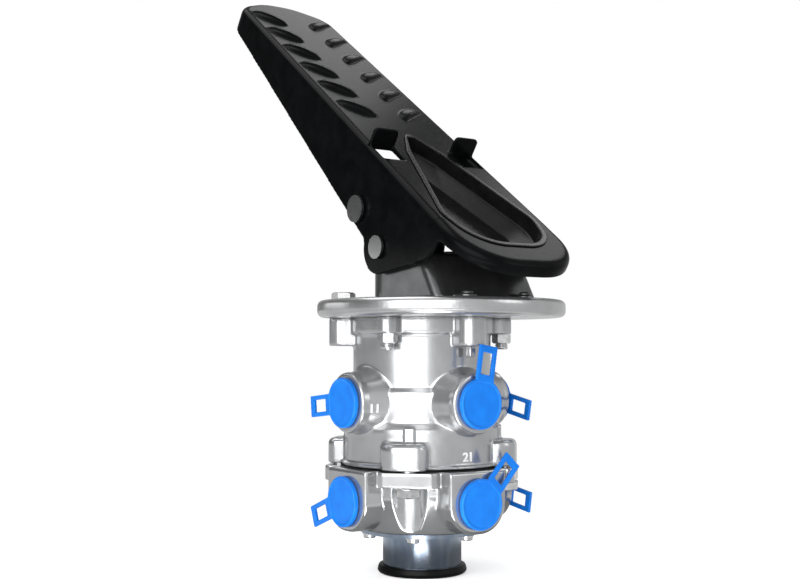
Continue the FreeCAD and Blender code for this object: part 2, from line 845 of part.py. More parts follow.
def make_exhaust_ring():
    foot = tube_end - size.ring_overhang
    top = foot + size.ring_height
    turned_piece("exhaust_ring", [
        (size.tube_radius, tube_end), (size.tube_radius, top), (size.ring_radius - 1, top, 1),
        (size.ring_radius, foot + 1.5, 1.5), (size.ring_radius - 1.5, foot, 1),
        (size.tube_radius - 3, foot, 1), (size.tube_radius - 3, tube_end)])


def make_exhaust_flap():
    foot = tube_end + 0.2
    turned_piece("exhaust_flap", [
        (0, foot + size.flap_thick + 1.5), (0, foot + 1.5),
        (size.tube_radius - size.tube_wall - 0.3, foot),
        (size.tube_radius - size.tube_wall - 0.3, foot + size.flap_thick)])


# Pedestal

def pedestal_outline(sketch, level, inset):
    """Plan outline of the pedestal's wall at one level; the heel wall leans towards the toe."""
    heel = size.pedestal_heel - (level - size.flange_thick) * tangent(size.pedestal_lean) - inset
    half = size.pedestal_half - inset
    mirrored_outline(sketch, [
        (heel, half, size.pedestal_corner - inset), (-(size.pedestal_toe - inset), half, half - 2)])


def make_pedestal():
    body = new_body("pedestal")
    foot, top = size.flange_thick, size.pedestal_top_level
    for kind, name, inset, spare in (("Additive", "wall", as_size(0), 0), ("Subtractive", "hollow", size.pedestal_wall, 1)):
        sections = []
        for level in (foot - spare, top + spare):
            sketch = new_sketch(body, f"{name}_{len(sections)}", "XY_Plane", lift=level)
            pedestal_outline(sketch, level, inset)
            sections.append(sketch)
        loft = body.newObject(f"PartDesign::{kind}Loft", name + "_loft")
        loft.Profile = sections[0]
        loft.Sections = [sections[1]]
        loft.Ruled = True
    boss = new_sketch(body, "pivot_boss", "XZ_Plane", lift=size.pedestal_half - size.pedestal_wall)
    circle(boss, size.pivot_x, size.pivot_z, size.pivot_radius + 3.5)
    near_boss = pad(body, "pivot_boss_pad", boss, 4, reverse=True)
    mirror_of(body, "pivot_bosses", [near_boss])
    crown = new_sketch(body, "crown_cut", "XZ_Plane")
    high = size.pedestal_top_level
    outline(crown, [
        (-size.pedestal_toe - 5, size.pedestal_toe_level), (size.pivot_x - 14, size.pedestal_toe_level, 4),
        (size.pivot_x - 8, high + 0.01), (size.pivot_x + 8, high + 0.01),
        (size.pedestal_heel - 14, size.pedestal_heel_level - 2), (size.pedestal_heel + 5, size.pedestal_heel_level - 10),
        (size.pedestal_heel + 5, high + 5), (-size.pedestal_toe - 5, high + 5)])
    pocket(body, "crown_cutting", crown, both_ways=True)
    holes = new_sketch(body, "pivot_holes", "XZ_Plane")
    circle(holes, size.pivot_x, size.pivot_z, size.pivot_radius + size.running_gap)
    pocket(body, "pivot_drilling", holes, both_ways=True)
    lugs = new_sketch(body, "foot_lugs", "XY_Plane", lift=size.flange_thick)
    reach = size.foot_screw_x + size.foot_lug_radius
    inner = size.pedestal_heel - 2
    low = size.foot_screw_y - size.foot_lug_radius
    high_y = size.foot_screw_y + size.foot_lug_radius
    for side in (-1, 1):
        outline(lugs, [
            (inner, side * low), (reach, side * low, size.foot_lug_radius - 0.2),
            (reach, side * high_y, size.foot_lug_radius - 0.2), (inner, side * high_y)])
    pad(body, "foot_lug_pad", lugs, size.foot_lug_thick)
    drills = new_sketch(body, "foot_holes", "XY_Plane", lift=size.flange_thick)
    for side in (-1, 1):
        circle(drills, size.foot_screw_x, side * size.foot_screw_y, foot_hole)
    pocket(body, "foot_drilling", drills, size.foot_lug_thick + 1, reverse=True)
    place(body)


def make_pedestal_screws():
    seat = size.flange_thick + size.foot_lug_thick
    screws = []
    for i, side in enumerate((-1, 1)):
        spot = (size.foot_screw_x, side * size.foot_screw_y)
        head = primitive("Cylinder", f"foot_screw_head_{i}",
                         {"Radius": size.foot_head_radius, "Height": size.foot_head_height}, (*spot, seat))
        shank = primitive("Cylinder", f"foot_screw_shank_{i}",
                          {"Radius": size.foot_screw_radius, "Height": seat - 1}, (*spot, 1))
        screws.append(joined(f"foot_screw_{i}", [head, shank]))
    group("pedestal_screws", screws)


# Treadle: drawn flat, then tilted by pedal_angle about the pedal level

def on_treadle(across, up):
    """A point of the valve's middle plane in the treadle's own flat frame."""
    rise = up - size.pedal_level
    flat = across * cosine(size.pedal_angle) - rise * sine(size.pedal_angle)
    depth = across * sine(size.pedal_angle) + rise * cosine(size.pedal_angle)
    return flat, depth


TREADLE_TILT = Rotation(Vector(0, 1, 0), SIZES["pedal_angle"])


def place_on_treadle(item):
    place(item, up=size.pedal_level, rotation=TREADLE_TILT)


def cheek_half(along):
    """Half width of the channel at a place along it: it widens from toe to heel."""
    grow = (size.heel_half - size.toe_half) / (size.toe_reach + size.cheek_end - 14)
    return size.toe_half + (along + size.toe_reach - 14) * grow


def treadle_outline(sketch, inset):
    mirrored_outline(sketch, [
        (size.heel_reach - inset, size.heel_half - inset, size.heel_corner - inset),
        (size.cheek_end - 12, size.heel_half - inset, 60),
        (-(size.toe_reach - 14.5 - inset), size.toe_half - inset, 20 - inset),
        (-(size.toe_reach - inset), 12, 34 - inset)])


def opening_outline(sketch, grow):
    mirrored_outline(sketch, [
        (size.opening_end + grow, size.opening_half - 7 + grow, 24 + grow),
        (size.opening_end - 30, size.opening_half + grow, 20 + grow),
        (5, size.opening_neck_half + grow, 24 + grow),
        (-(size.opening_start - 3 + grow), 3, 3 + grow)])


def make_treadle():
    body = new_body("treadle")
    pivot = on_treadle(size.pivot_x, size.pivot_z)
    axle = on_treadle(size.roller_x, size.roller_z)
    depth = size.pedal_level
    plan = new_sketch(body, "treadle_plan", "XY_Plane")
    treadle_outline(plan, as_size(0))
    block = pad(body, "treadle_block", plan, depth, reverse=True)
    rounded = fillet(body, "treadle_rounding", block, lambda edge: at_height(edge, 0), size.plate_round)
    body.Tip = rounded
    side = new_sketch(body, "cheek_profile", "XZ_Plane")
    slope = size.lobe_slope
    left = pivot[0] - size.lobe_radius
    corner = pivot[1] - size.lobe_radius * (cosine(slope) + (1 + sine(slope)) * tangent(slope))
    ramp_end = size.cheek_end - 6
    ramp_level = corner + (ramp_end - left) * tangent(slope)
    far = size.heel_reach + 20
    toe_end = -(size.toe_reach + 20)
    outline(side, [
        (toe_end, -size.toe_skirt_depth), (left - 0.4, pivot[1] - 4.5, 2),
        (left, corner, size.lobe_radius), (ramp_end, ramp_level, 4),
        (size.cheek_end, -size.heel_lip_depth), (far, -size.heel_lip_depth),
        (far, -depth - 5), (toe_end, -depth - 5)])
    pocket(body, "cheek_cutting", side, both_ways=True)
    inside = new_sketch(body, "treadle_inside", "XY_Plane", lift=-size.plate_thick)
    treadle_outline(inside, size.cheek_wall)
    pocket(body, "treadle_hollow", inside, depth)
    opening = new_sketch(body, "opening_plan", "XY_Plane")
    opening_outline(opening, as_size(0))
    pocket(body, "opening_cut", opening, size.plate_thick + 1)
    stand = new_sketch(body, "tab_stand", "YZ_Plane", lift=size.tab_stand_place)
    outline(stand, [
        (size.tab_stand_inner, -1), (size.tab_stand_outer, -1),
        (size.tab_stand_outer, size.tab_stand_height, 3), (size.tab_stand_inner, size.tab_stand_height, 3)])
    near_tab = pad(body, "tab_stand_pad", stand, size.tab_stand_thick)
    mirror_of(body, "tab_stands", [near_tab])
    window = new_sketch(body, "tab_window", "XY_Plane")
    start = size.tab_stand_place + size.tab_stand_thick
    for sign in (-1, 1):
        box_outline(window, start, start + size.window_length, sign * (size.tab_stand_inner + 1),
                    sign * (size.tab_stand_outer - 1.5))
    pocket(body, "tab_windows", window, size.plate_thick + 1)
    holes = new_sketch(body, "pin_holes", "XZ_Plane")
    circle(holes, *pivot, size.pivot_radius + size.running_gap)
    circle(holes, *axle, size.roller_pin_radius + size.running_gap)
    pocket(body, "pin_drilling", holes, both_ways=True)
    add_louvres(body)
    place_on_treadle(body)


def add_louvres(body):
    """Hooded slots in two mirrored rows, each open towards the heel and the edge."""
    half = size.louvre_length / 2
    hood = body.newObject("PartDesign::AdditiveEllipsoid", "louvre_hood")
    hollow = body.newObject("PartDesign::SubtractiveEllipsoid", "louvre_hollow")
    for feature, skin in ((hood, as_size(0)), (hollow, size.louvre_skin)):
        feature.AttachmentSupport = (origin_feature(body, "XY_Plane"), [""])
        feature.MapMode = "FlatFace"
        turn = Rotation(Vector(0, 0, 1), -SIZES["louvre_angle"])
        feature.AttachmentOffset = Placement(Vector(), turn)
        feature.setExpression("AttachmentOffset.Base.x", (-size.louvre_place).text)
        feature.setExpression("AttachmentOffset.Base.y", size.louvre_across.text)
        feature.setExpression("Radius1", (size.louvre_height - skin).text)
        feature.setExpression("Radius2", (half - skin).text)
        feature.setExpression("Radius3", (size.louvre_depth - skin).text)
        feature.Angle1 = -90 if skin.value else 0
    mouth = new_sketch(body, "louvre_mouth", "XY_Plane", lift=0, along=-size.louvre_place,
                       up=size.louvre_across, turn=-SIZES["louvre_angle"])
    box_outline(mouth, -half - 1, half + 1, size.louvre_skin, size.louvre_depth + 1)
    front = pocket(body, "louvre_front", mouth, size.louvre_height + 1, reverse=True)
    slot = new_sketch(body, "louvre_slot", "XY_Plane", along=-size.louvre_place,
                      up=size.louvre_across, turn=-SIZES["louvre_angle"])
    inner = half - 2 * size.louvre_skin
    outline(slot, [(-inner, 0), (0, -size.louvre_depth + 2, 16), (inner, 0)])
    through = pocket(body, "louvre_well", slot, size.plate_thick - size.louvre_floor)
    transform = body.newObject("PartDesign::MultiTransform", "louvres")
    transform.Originals = [hood, hollow, front, through]
    row = body.newObject("PartDesign::LinearPattern", "louvre_row")
    row.Direction = (origin_feature(body, "X_Axis"), [""])
    row.Reversed = True
    row.Occurrences = LOUVRES
    row.setExpression("Length", ((LOUVRES - 1) * size.louvre_pitch).text)
    both = body.newObject("PartDesign::Mirrored", "louvre_sides")
    both.MirrorPlane = (origin_feature(body, "XZ_Plane"), [""])
    transform.Transformations = [row, both]
    body.Tip = transform


def make_heel_dish():
    """Scooped insert that lines the treadle's opening."""
    body = new_body("heel_dish")
    inset = size.dish_clearance + size.dish_wall
    plan = new_sketch(body, "dish_plan", "XY_Plane")
    opening_outline(plan, -size.dish_clearance)
    pad(body, "dish_block", plan, size.dish_depth + size.dish_wall, reverse=True)
    rim = new_sketch(body, "dish_rim", "XY_Plane")
    opening_outline(rim, size.dish_rim_width)
    pad(body, "dish_rim_pad", rim, size.dish_rim_height)
    belly = new_sketch(body, "dish_belly", "XY_Plane", lift=-(size.dish_depth + size.dish_wall))
    opening_outline(belly, -size.dish_clearance)
    sloped(pad(body, "dish_belly_pad", belly, size.scoop_depth, reverse=True))
    well = new_sketch(body, "dish_well", "XY_Plane", lift=size.dish_rim_height)
    opening_outline(well, -inset)
    pocket(body, "dish_well_cut", well, size.dish_rim_height + size.dish_depth)
    scoop = new_sketch(body, "dish_scoop", "XY_Plane", lift=-size.dish_depth)
    opening_outline(scoop, -(inset + size.dish_ledge))
    sloped(pocket(body, "dish_scoop_cut", scoop, size.scoop_depth))
    place_on_treadle(body)


def sloped(feature):
    """Draws the walls of a pad or pocket in, away from its sketch."""
    feature.setExpression("TaperAngle", (-size.scoop_slope).text)


# Pins across the treadle

ACROSS = Rotation(Vector(1, 0, 0), 90)
plate_half = size.heel_half


def make_roller_pin():
    half = plate_half + 0.2
    spot = (size.roller_x, half, size.roller_z)
    shank = primitive("Cylinder", "roller_pin_shank",
                      {"Radius": size.roller_pin_radius, "Height": 2 * half + 3}, spot, ACROSS)
    shank.setExpression("Placement.Base.y", (half + 3).text)
    head = primitive("Cylinder", "roller_pin_head",
                     {"Radius": size.roller_head_radius, "Height": size.pin_head_thick},
                     (size.roller_x, -half, size.roller_z), ACROSS)
    pin = joined("roller_pin", [shank, head])
    pin.Label = "roller_pin"
    place(pin)
    clip = new_body("pin_clip")
    ring = new_sketch(clip, "pin_clip_ring", "XZ_Plane", lift=-(half + 2.2))
    circle(ring, size.roller_x, size.roller_z, size.roller_pin_radius + 2.5)
    circle(ring, size.roller_x, size.roller_z, size.roller_pin_radius + size.running_gap)
    pad(clip, "pin_clip_pad", ring, 1.0)
    place(clip)


def make_roller():
    body = new_body("roller")
    half = size.roller_width / 2
    profile = new_sketch(body, "roller_profile", "XY_Plane")
    bore = size.roller_pin_radius + size.running_gap
    outline(profile, [
        (bore, -half), (size.roller_radius, -half, 1.5), (size.roller_radius, half, 1.5), (bore, half)])
    revolve(body, "roller_turned", profile)
    place(body, across=size.roller_x, up=size.roller_z)


def make_spacer_sleeves():
    inner = size.roller_width / 2 + 0.3
    outer = cheek_half(on_treadle(size.roller_x, size.roller_z)[0]) - size.cheek_wall - 0.3
    sleeves = []
    for i, start in enumerate((outer, -inner)):
        sizes = {"Radius": size.roller_pin_radius + 1.8, "Height": outer - inner}
        hole_sizes = {"Radius": size.roller_pin_radius + size.running_gap, "Height": outer - inner}
        spot = (size.roller_x, start, size.roller_z)
        cut = doc.addObject("Part::Cut", f"sleeve_{i}")
        cut.Base = primitive("Cylinder", f"sleeve_{i}_blank", sizes, spot, ACROSS)
        cut.Tool = primitive("Cylinder", f"sleeve_{i}_hole", hole_sizes, spot, ACROSS)
        sleeves.append(cut)
    group("spacer_sleeves", sleeves)


def make_pivot_pins():
    """Two short headed pins, one through each cheek into the pedestal's boss."""
    inner = size.pedestal_half - size.pedestal_wall - 4
    outer = plate_half + 0.2
    pins = []
    washers = []
    gap_inner = size.pedestal_half
    gap_outer = cheek_half(on_treadle(size.pivot_x, size.pivot_z)[0]) - size.cheek_wall
    for i in range(2):
        side = -1 if i == 0 else 1
        start = (-inner) if side < 0 else outer
        shank = primitive("Cylinder", f"pivot_shank_{i}", {"Radius": size.pivot_radius, "Height": outer - inner},
                          (size.pivot_x, start, size.pivot_z), ACROSS)
        head_start = (-outer) if side < 0 else outer + size.pin_head_thick
        head = primitive("Cylinder", f"pivot_head_{i}",
                         {"Radius": size.pivot_head_radius, "Height": size.pin_head_thick},
                         (size.pivot_x, head_start, size.pivot_z), ACROSS)
        pins.append(joined(f"pivot_pin_{i}", [shank, head]))
        thick = (gap_outer - gap_inner) - 0.3
        washer_start = (-gap_inner) if side < 0 else gap_inner + thick
        spot = (size.pivot_x, washer_start, size.pivot_z)
        cut = doc.addObject("Part::Cut", f"pivot_washer_{i}")
        cut.Base = primitive("Cylinder", f"washer_{i}_blank",
                             {"Radius": size.pivot_radius + 4, "Height": thick}, spot, ACROSS)
        cut.Tool = primitive("Cylinder", f"washer_{i}_hole",
                             {"Radius": size.pivot_radius + size.running_gap, "Height": thick}, spot, ACROSS)
        washers.append(cut)
    group("pivot_pins", pins)
    group("pivot_washers", washers)


# Plunger train, from the roller down

spring_plate_top = -size.spring_plate_level
rubber_top = spring_plate_top - size.spring_plate_thick
piston_top = rubber_top - size.rubber_spring_height
piston_foot = piston_top - size.piston_thick
stem_foot = seat_level + size.stem_gap - 0.2
valve_top = seat_level - 0.2
valve_disc_foot = valve_top - size.valve_disc_thick
guide_top = valve_disc_foot - size.valve_spring_height
guide_foot = guide_top - size.guide_thick
relay_top = lower_top - 1.2
relay_piston_foot = relay_top - size.relay_thick
relay_stem_foot = relay_seat_level + size.stem_gap - 0.2
relay_valve_top = relay_seat_level - 0.2
relay_disc_foot = relay_valve_top - size.valve_disc_thick
relay_guide_top = relay_disc_foot - size.valve_spring_height + 1
relay_guide_foot = relay_guide_top - size.guide_thick + 1


def make_plunger():
    head_foot = plunger_top - size.plunger_head_thick
    rod = size.plunger_radius - size.running_gap
    tip = size.spring_plate_level + size.spring_plate_thick
    turned_piece("plunger", [
        (0, plunger_top), (size.plunger_head_radius, plunger_top, 1.5),
        (size.plunger_head_radius, head_foot), (rod, head_foot, 1), (rod, spring_plate_top),
        (rod - 3, spring_plate_top), (rod - 3, -tip), (0, -tip)])


def make_guide_bush():
    outer = size.flange_bore - size.running_gap
    turned_piece("guide_bush", [
        (size.plunger_radius, size.flange_thick + 3), (size.plunger_radius + 2.5, size.flange_thick + 3, 0.6),
        (size.plunger_radius + 2.5, size.flange_thick), (outer, size.flange_thick), (outer, -0.2),
        (size.bush_collar_radius, -0.2), (size.bush_collar_radius, -5), (size.plunger_radius, -5)])


def make_plunger_boot():
    """Rubber gaiter between the bush and the plunger's head."""
    foot = size.flange_thick + 0.2
    top = plunger_top - size.plunger_head_thick - 0.3
    inner = size.flange_bore - size.running_gap - 2.7
    folds = 3
    step = (top - foot) / folds
    wall = 1.2
    outer_side = []
    inner_side = []
    for i in range(folds):
        low = foot + i * step
        outer_side += [(inner + wall, low), (inner + wall - 3, low + step / 2)]
        inner_side += [(inner, low), (inner - 3, low + step / 2)]
    outer_side.append((inner + wall - 2, top))
    inner_side.append((inner - 2, top))
    turned_piece("plunger_boot", outer_side + inner_side[::-1])


def make_spring_plate():
    rod = size.plunger_radius - size.running_gap - 3
    turned_piece("spring_plate", [
        (rod + size.running_gap, spring_plate_top), (size.spring_plate_radius, spring_plate_top, 0.8),
        (size.spring_plate_radius, rubber_top), (rod + size.running_gap, rubber_top)])


def make_graduating_spring():
    turned_piece("graduating_spring", [
        (6.5, rubber_top), (size.rubber_spring_radius - 3, rubber_top),
        (size.rubber_spring_radius, (rubber_top + piston_top) / 2, 5),
        (size.rubber_spring_radius - 3, piston_top), (6.5, piston_top)])


def seal_groove(radius, middle):
    """Corners of a piston's wall with its seal groove, from the top down."""
    half = size.seal_height / 2
    return [(radius, middle + half), (radius - size.seal_depth, middle + half),
            (radius - size.seal_depth, middle - half), (radius, middle - half)]


def make_primary_piston():
    wall = size.piston_bore - size.running_gap
    middle = (piston_top + piston_foot) / 2
    turned_piece("primary_piston", [
        (0, piston_top - 2), (5, piston_top - 2), (5, piston_top), (wall, piston_top, 0.6),
        *seal_groove(wall, middle), (wall, piston_foot),
        (size.piston_stem_radius, piston_foot, 1), (size.piston_stem_radius, stem_foot),
        (size.stem_bore, stem_foot), (size.stem_bore, piston_foot), (0, piston_foot)])
    make_seal("piston_seal", wall, middle)


def make_seal(name, wall, middle):
    half = size.seal_height / 2 - 0.1
    inner = wall - size.seal_depth + 0.1
    turned_piece(name, [
        (inner, middle - half, 0.4), (wall, middle - half, 0.4),
        (wall, middle + half, 0.4), (inner, middle + half, 0.4)])


def make_coil_spring(name, radius, wire, top, foot, turns):
    """Round-wire spring: a helix swept from its foot, clear of both seats."""
    radius, wire = as_size(radius), as_size(wire)
    height = top - foot - 2 * wire - 0.4
    start = foot + wire + 0.2
    pitch = height.value / turns
    helix = Part.makeHelix(pitch, pitch / HELIX_STEPS, radius.value)
    end = Part.Wire([Part.makeCircle(wire.value, Vector(radius.value, 0, 0), Vector(0, 1, 0))])
    step = Part.Wire([helix.Edges[0]]).makePipeShell([end], True, True)
    steps = []
    for i in range(round(turns * HELIX_STEPS)):
        copy = step.copy()
        copy.rotate(Vector(), Vector(0, 0, 1), 360 / HELIX_STEPS * i)
        copy.translate(Vector(0, 0, pitch / HELIX_STEPS * i))
        steps.append(copy)
    spring = doc.addObject("Part::Feature", name)
    spring.Label = name
    spring.Shape = steps[0].multiFuse(steps[1:]).Solids[0]
    place(spring, up=start)


def make_valve(name, disc_radius, top, disc_foot, tube_foot):
    tube = size.valve_tube_radius - size.running_gap
    turned_piece(name, [
        (tube - 2, top), (disc_radius, top, 0.8), (disc_radius, disc_foot), (tube, disc_foot, 0.8),
        (tube, tube_foot), (tube - 2, tube_foot)])


def make_guide(name, bore, top, foot):
    turned_piece(name, [
        (size.valve_tube_radius, top), (bore - size.running_gap, top),
        (bore - size.running_gap, foot), (size.valve_tube_radius, foot)])


def make_retaining_ring(name, bore, top):
    outer = bore + size.retainer_bite - size.running_gap
    turned_piece(name, [
        (bore - 3, top - 0.1), (outer, top - 0.1), (outer, top - size.retainer_thick + 0.1),
        (bore - 3, top - size.retainer_thick + 0.1)])


def make_relay_piston():
    wall = size.relay_bore - size.running_gap
    middle = (relay_top + relay_piston_foot) / 2
    turned_piece("relay_piston", [
        (0, relay_top - 2), (8, relay_top - 2), (10, relay_top), (wall, relay_top, 0.6),
        *seal_groove(wall, middle), (wall, relay_piston_foot),
        (size.relay_stem_radius, relay_piston_foot, 0.8), (size.relay_stem_radius, relay_stem_foot),
        (size.stem_bore, relay_stem_foot), (size.stem_bore, relay_piston_foot), (0, relay_piston_foot)])
    make_seal("relay_seal", wall, middle)


def make_valve_train():
    make_plunger()
    make_guide_bush()
    make_plunger_boot()
    make_spring_plate()
    make_graduating_spring()
    make_primary_piston()
    make_coil_spring("piston_return_spring", size.return_spring_radius, size.return_wire,
                     piston_foot, -size.piston_bore_depth, 3)
    make_valve("primary_valve", size.valve_disc_radius, valve_top, valve_disc_foot, guide_foot - 4)
    make_coil_spring("primary_valve_spring", size.valve_spring_radius, size.valve_wire,
                     valve_disc_foot, guide_top, 2.5)
    make_guide("primary_valve_guide", size.valve_bore, guide_top, guide_foot)
    make_retaining_ring("primary_retaining_ring", size.valve_bore, guide_foot)
    make_relay_piston()
    make_valve("secondary_valve", size.relay_disc_radius, relay_valve_top, relay_disc_foot,
               relay_guide_foot - 3)
    make_coil_spring("secondary_valve_spring", size.valve_spring_radius, size.valve_wire,
                     relay_disc_foot, relay_guide_top, 2)
    make_guide("secondary_valve_guide", size.relay_valve_bore, relay_guide_top, relay_guide_foot)
    make_retaining_ring("secondary_retaining_ring", size.relay_valve_bore, relay_guide_foot)


# Build, check and write

make_mounting_flange()
make_upper_housing()
make_lower_housing()
make_body_gasket()
for cap_name, (cap_turn, cap_row, cap_tab) in CAPS.items():
    make_port_cap(cap_name, cap_turn, getattr(size, cap_row), cap_tab)
make_flange_bolts()
make_flange_studs()
make_housing_bolts()
make_exhaust_tube()
make_exhaust_screws()
make_exhaust_ring()
make_exhaust_flap()
make_pedestal()
make_pedestal_screws()
make_treadle()
make_heel_dish()
make_roller_pin()
make_roller()
make_spacer_sleeves()
make_pivot_pins()
make_valve_train()

doc.recompute()
for item in doc.Objects:
    if "Invalid" in item.State or "Error" in item.State:
        raise RuntimeError(f"{item.Label} did not recompute: {item.State}")
for item in subparts:
    if item.Shape.isNull() or not item.Shape.isValid():
        raise RuntimeError(f"{item.Label} has no valid shape")

os.makedirs("parts", exist_ok=True)
for item in subparts:
    item.Shape.exportStep(f"parts/{item.Label}.step")
    box = item.Shape.BoundBox
    print(f"{item.Label}: {len(item.Shape.Solids)} solids, volume {item.Shape.Volume:.0f},"
          f" X {box.XMin:.1f} {box.XMax:.1f} Y {box.YMin:.1f} {box.YMax:.1f}"
          f" Z {box.ZMin:.1f} {box.ZMax:.1f}")
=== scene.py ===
import math
import bmesh
import bpy
from mathutils import Matrix, Vector


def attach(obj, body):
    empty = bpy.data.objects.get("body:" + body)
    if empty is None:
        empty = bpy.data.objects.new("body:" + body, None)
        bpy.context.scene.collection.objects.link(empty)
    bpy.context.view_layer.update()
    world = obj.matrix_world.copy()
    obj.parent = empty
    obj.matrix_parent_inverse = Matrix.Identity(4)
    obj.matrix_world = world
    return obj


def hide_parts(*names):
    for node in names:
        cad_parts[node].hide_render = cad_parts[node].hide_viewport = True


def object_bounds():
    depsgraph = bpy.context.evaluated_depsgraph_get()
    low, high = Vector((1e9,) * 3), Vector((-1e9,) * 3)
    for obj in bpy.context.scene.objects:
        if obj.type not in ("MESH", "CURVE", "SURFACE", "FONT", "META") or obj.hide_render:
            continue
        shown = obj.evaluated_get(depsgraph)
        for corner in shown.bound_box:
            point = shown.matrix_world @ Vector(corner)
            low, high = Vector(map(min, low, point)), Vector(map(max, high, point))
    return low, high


# Foot brake valve. Lengths are written in millimetres about the valve's axis, with Z = 0 at the
# underside of the mounting flange, as in the CAD source, and become metres in the row's frame.

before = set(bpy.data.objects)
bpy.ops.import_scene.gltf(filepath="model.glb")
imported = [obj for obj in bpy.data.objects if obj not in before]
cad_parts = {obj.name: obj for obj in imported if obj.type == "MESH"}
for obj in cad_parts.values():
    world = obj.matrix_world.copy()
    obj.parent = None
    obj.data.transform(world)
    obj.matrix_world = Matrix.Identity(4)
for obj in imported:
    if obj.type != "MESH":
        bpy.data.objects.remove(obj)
cad_low, cad_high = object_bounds()

MM = 0.001
FLANGE_OFFSET = 19
TO_ROW = Matrix.Translation((-FLANGE_OFFSET * MM, 0, 0)) @ Matrix.Scale(MM, 4)
SCENE = bpy.context.scene


# Points and outlines

def ring_spot(radius, angle):
    return radius * math.cos(math.radians(angle)), radius * math.sin(math.radians(angle))


def arc(radius, start, stop, centre=(0, 0), step=4):
    """Points of an arc, in degrees."""
    count = max(2, round(abs(stop - start) / step))
    spots = [ring_spot(radius, start + (stop - start) * i / count) for i in range(count + 1)]
    return [(centre[0] + x, centre[1] + y) for x, y in spots]


def oval(half_length, half_width, step=6):
    unit = [ring_spot(1, turn) for turn in range(0, 360, step)]
    return [(half_length * x, half_width * y) for x, y in unit]


def rounded(corners, step=9):
    """Closed outline: (x, y) is a sharp corner and (x, y, radius) a rounded one."""
    points = []
    count = len(corners)
    for i, corner in enumerate(corners):
        here = Vector(corner[:2])
        if len(corner) == 2:
            points.append(tuple(here))
            continue
        back = (Vector(corners[i - 1][:2]) - here).normalized()
        ahead = (Vector(corners[(i + 1) % count][:2]) - here).normalized()
        half = math.acos(max(-1, min(1, back.dot(ahead)))) / 2
        reach = corner[2] / math.tan(half)
        centre = here + (back + ahead).normalized() * corner[2] / math.sin(half)
        start = here + back * reach - centre
        stop = here + ahead * reach - centre
        first = math.atan2(start.y, start.x)
        sweep = math.atan2(stop.y, stop.x) - first
        sweep = (sweep + math.pi) % (2 * math.pi) - math.pi
        first, sweep = math.degrees(first), math.degrees(sweep)
        points += arc(corner[2], first, first + sweep, centre, step)
    return points


def box_corners(low_x, high_x, low_y, high_y):
    return [(low_x, low_y), (high_x, low_y), (high_x, high_y), (low_x, high_y)]


# Meshes

def new_object(name, mesh):
    piece = bpy.data.objects.new(name, mesh)
    SCENE.collection.objects.link(piece)
    return piece


def from_bmesh(name, solid):
    mesh = bpy.data.meshes.new(name)
    solid.to_mesh(mesh)
    solid.free()
    return new_object(name, mesh)


def from_faces(name, points, faces):
    """Closed solid from points and faces, its double points welded."""
    rough = bpy.data.meshes.new(name + "_rough")
    rough.from_pydata(points, [], faces)
    solid = bmesh.new()
    solid.from_mesh(rough)
    bpy.data.meshes.remove(rough)
    bmesh.ops.remove_doubles(solid, verts=solid.verts, dist=0.001)
    bmesh.ops.recalc_face_normals(solid, faces=solid.faces)
    return from_bmesh(name, solid)


def lathe(name, profile, steps=128):
    """Turns a closed profile of (radius, height) points about the Z axis."""
    points = []
    for i in range(steps):
        turn = 2 * math.pi * i / steps
        points += [(r * math.cos(turn), r * math.sin(turn), z) for r, z in profile]
    count = len(profile)
    faces = []
    for i in range(steps):
        here, after = i * count, (i + 1) % steps * count
        for k in range(count):
            nxt = (k + 1) % count
            if profile[k][0] < 0.001 and profile[nxt][0] < 0.001:
                continue
            faces.append((here + k, here + nxt, after + nxt, after + k))
    return from_faces(name, points, faces)


def prism(name, outline, low, high, edge=0.0):
    """Upright prism over an outline, its top edges rounded."""
    solid = bmesh.new()
    face = solid.faces.new([solid.verts.new((x, y, low)) for x, y in outline])
    made = bmesh.ops.extrude_face_region(solid, geom=[face])["geom"]
    for vert in [item for item in made if isinstance(item, bmesh.types.BMVert)]:
        vert.co.z = high
    bmesh.ops.recalc_face_normals(solid, faces=solid.faces)
    if edge:
        flat = [line for line in solid.edges if min(vert.co.z for vert in line.verts) > high - 0.001]
        bmesh.ops.bevel(solid, geom=flat, offset=edge, segments=4, affect="EDGES", profile=0.5)
    return from_bmesh(name, solid)


def evaluated(piece):
    bpy.context.view_layer.update()
    return bpy.data.meshes.new_from_object(piece.evaluated_get(bpy.context.evaluated_depsgraph_get()))


def apply_modifiers(piece):
    mesh = evaluated(piece)
    piece.modifiers.clear()
    piece.data = mesh
    return piece


def moved(piece, matrix):
    piece.data.transform(matrix)
    return piece


def joined(name, pieces):
    """One object from several; the pieces keep their material slots in order."""
    whole = bmesh.new()
    for piece in pieces:
        whole.from_mesh(piece.data)
        bpy.data.objects.remove(piece)
    return from_bmesh(name, whole)


def carve(piece, cutters, operation="DIFFERENCE"):
    for cutter in cutters:
        cut = piece.modifiers.new("cut", "BOOLEAN")
        cut.object = cutter
        cut.operation = operation
        cut.solver = "EXACT"
    apply_modifiers(piece)
    for cutter in cutters:
        bpy.data.objects.remove(cutter)
    return piece


def solid_of(node):
    """A CAD node's solid as one welded mesh, in millimetres about the valve's axis."""
    solid = bmesh.new()
    solid.from_mesh(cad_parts[node].data)
    solid.transform(TO_ROW.inverted())
    bmesh.ops.remove_doubles(solid, verts=solid.verts, dist=0.002)
    return from_bmesh(node + "_solid", solid)


def cast(name, parts, grid, passes):
    """Melts overlapping solids into one casting with rounded edges and filled corners."""
    whole = joined(name, parts)
    grid_step = whole.modifiers.new("grid", "REMESH")
    grid_step.mode = "VOXEL"
    grid_step.voxel_size = grid
    soften = whole.modifiers.new("soften", "SMOOTH")
    soften.factor = 0.5
    soften.iterations = passes
    return apply_modifiers(whole)


# Finishing

# Edges sharper than these angles stay sharp, in degrees.
CAST_CREASE = 60
CAP_CREASE = 50
FASTENER_CREASE = 30


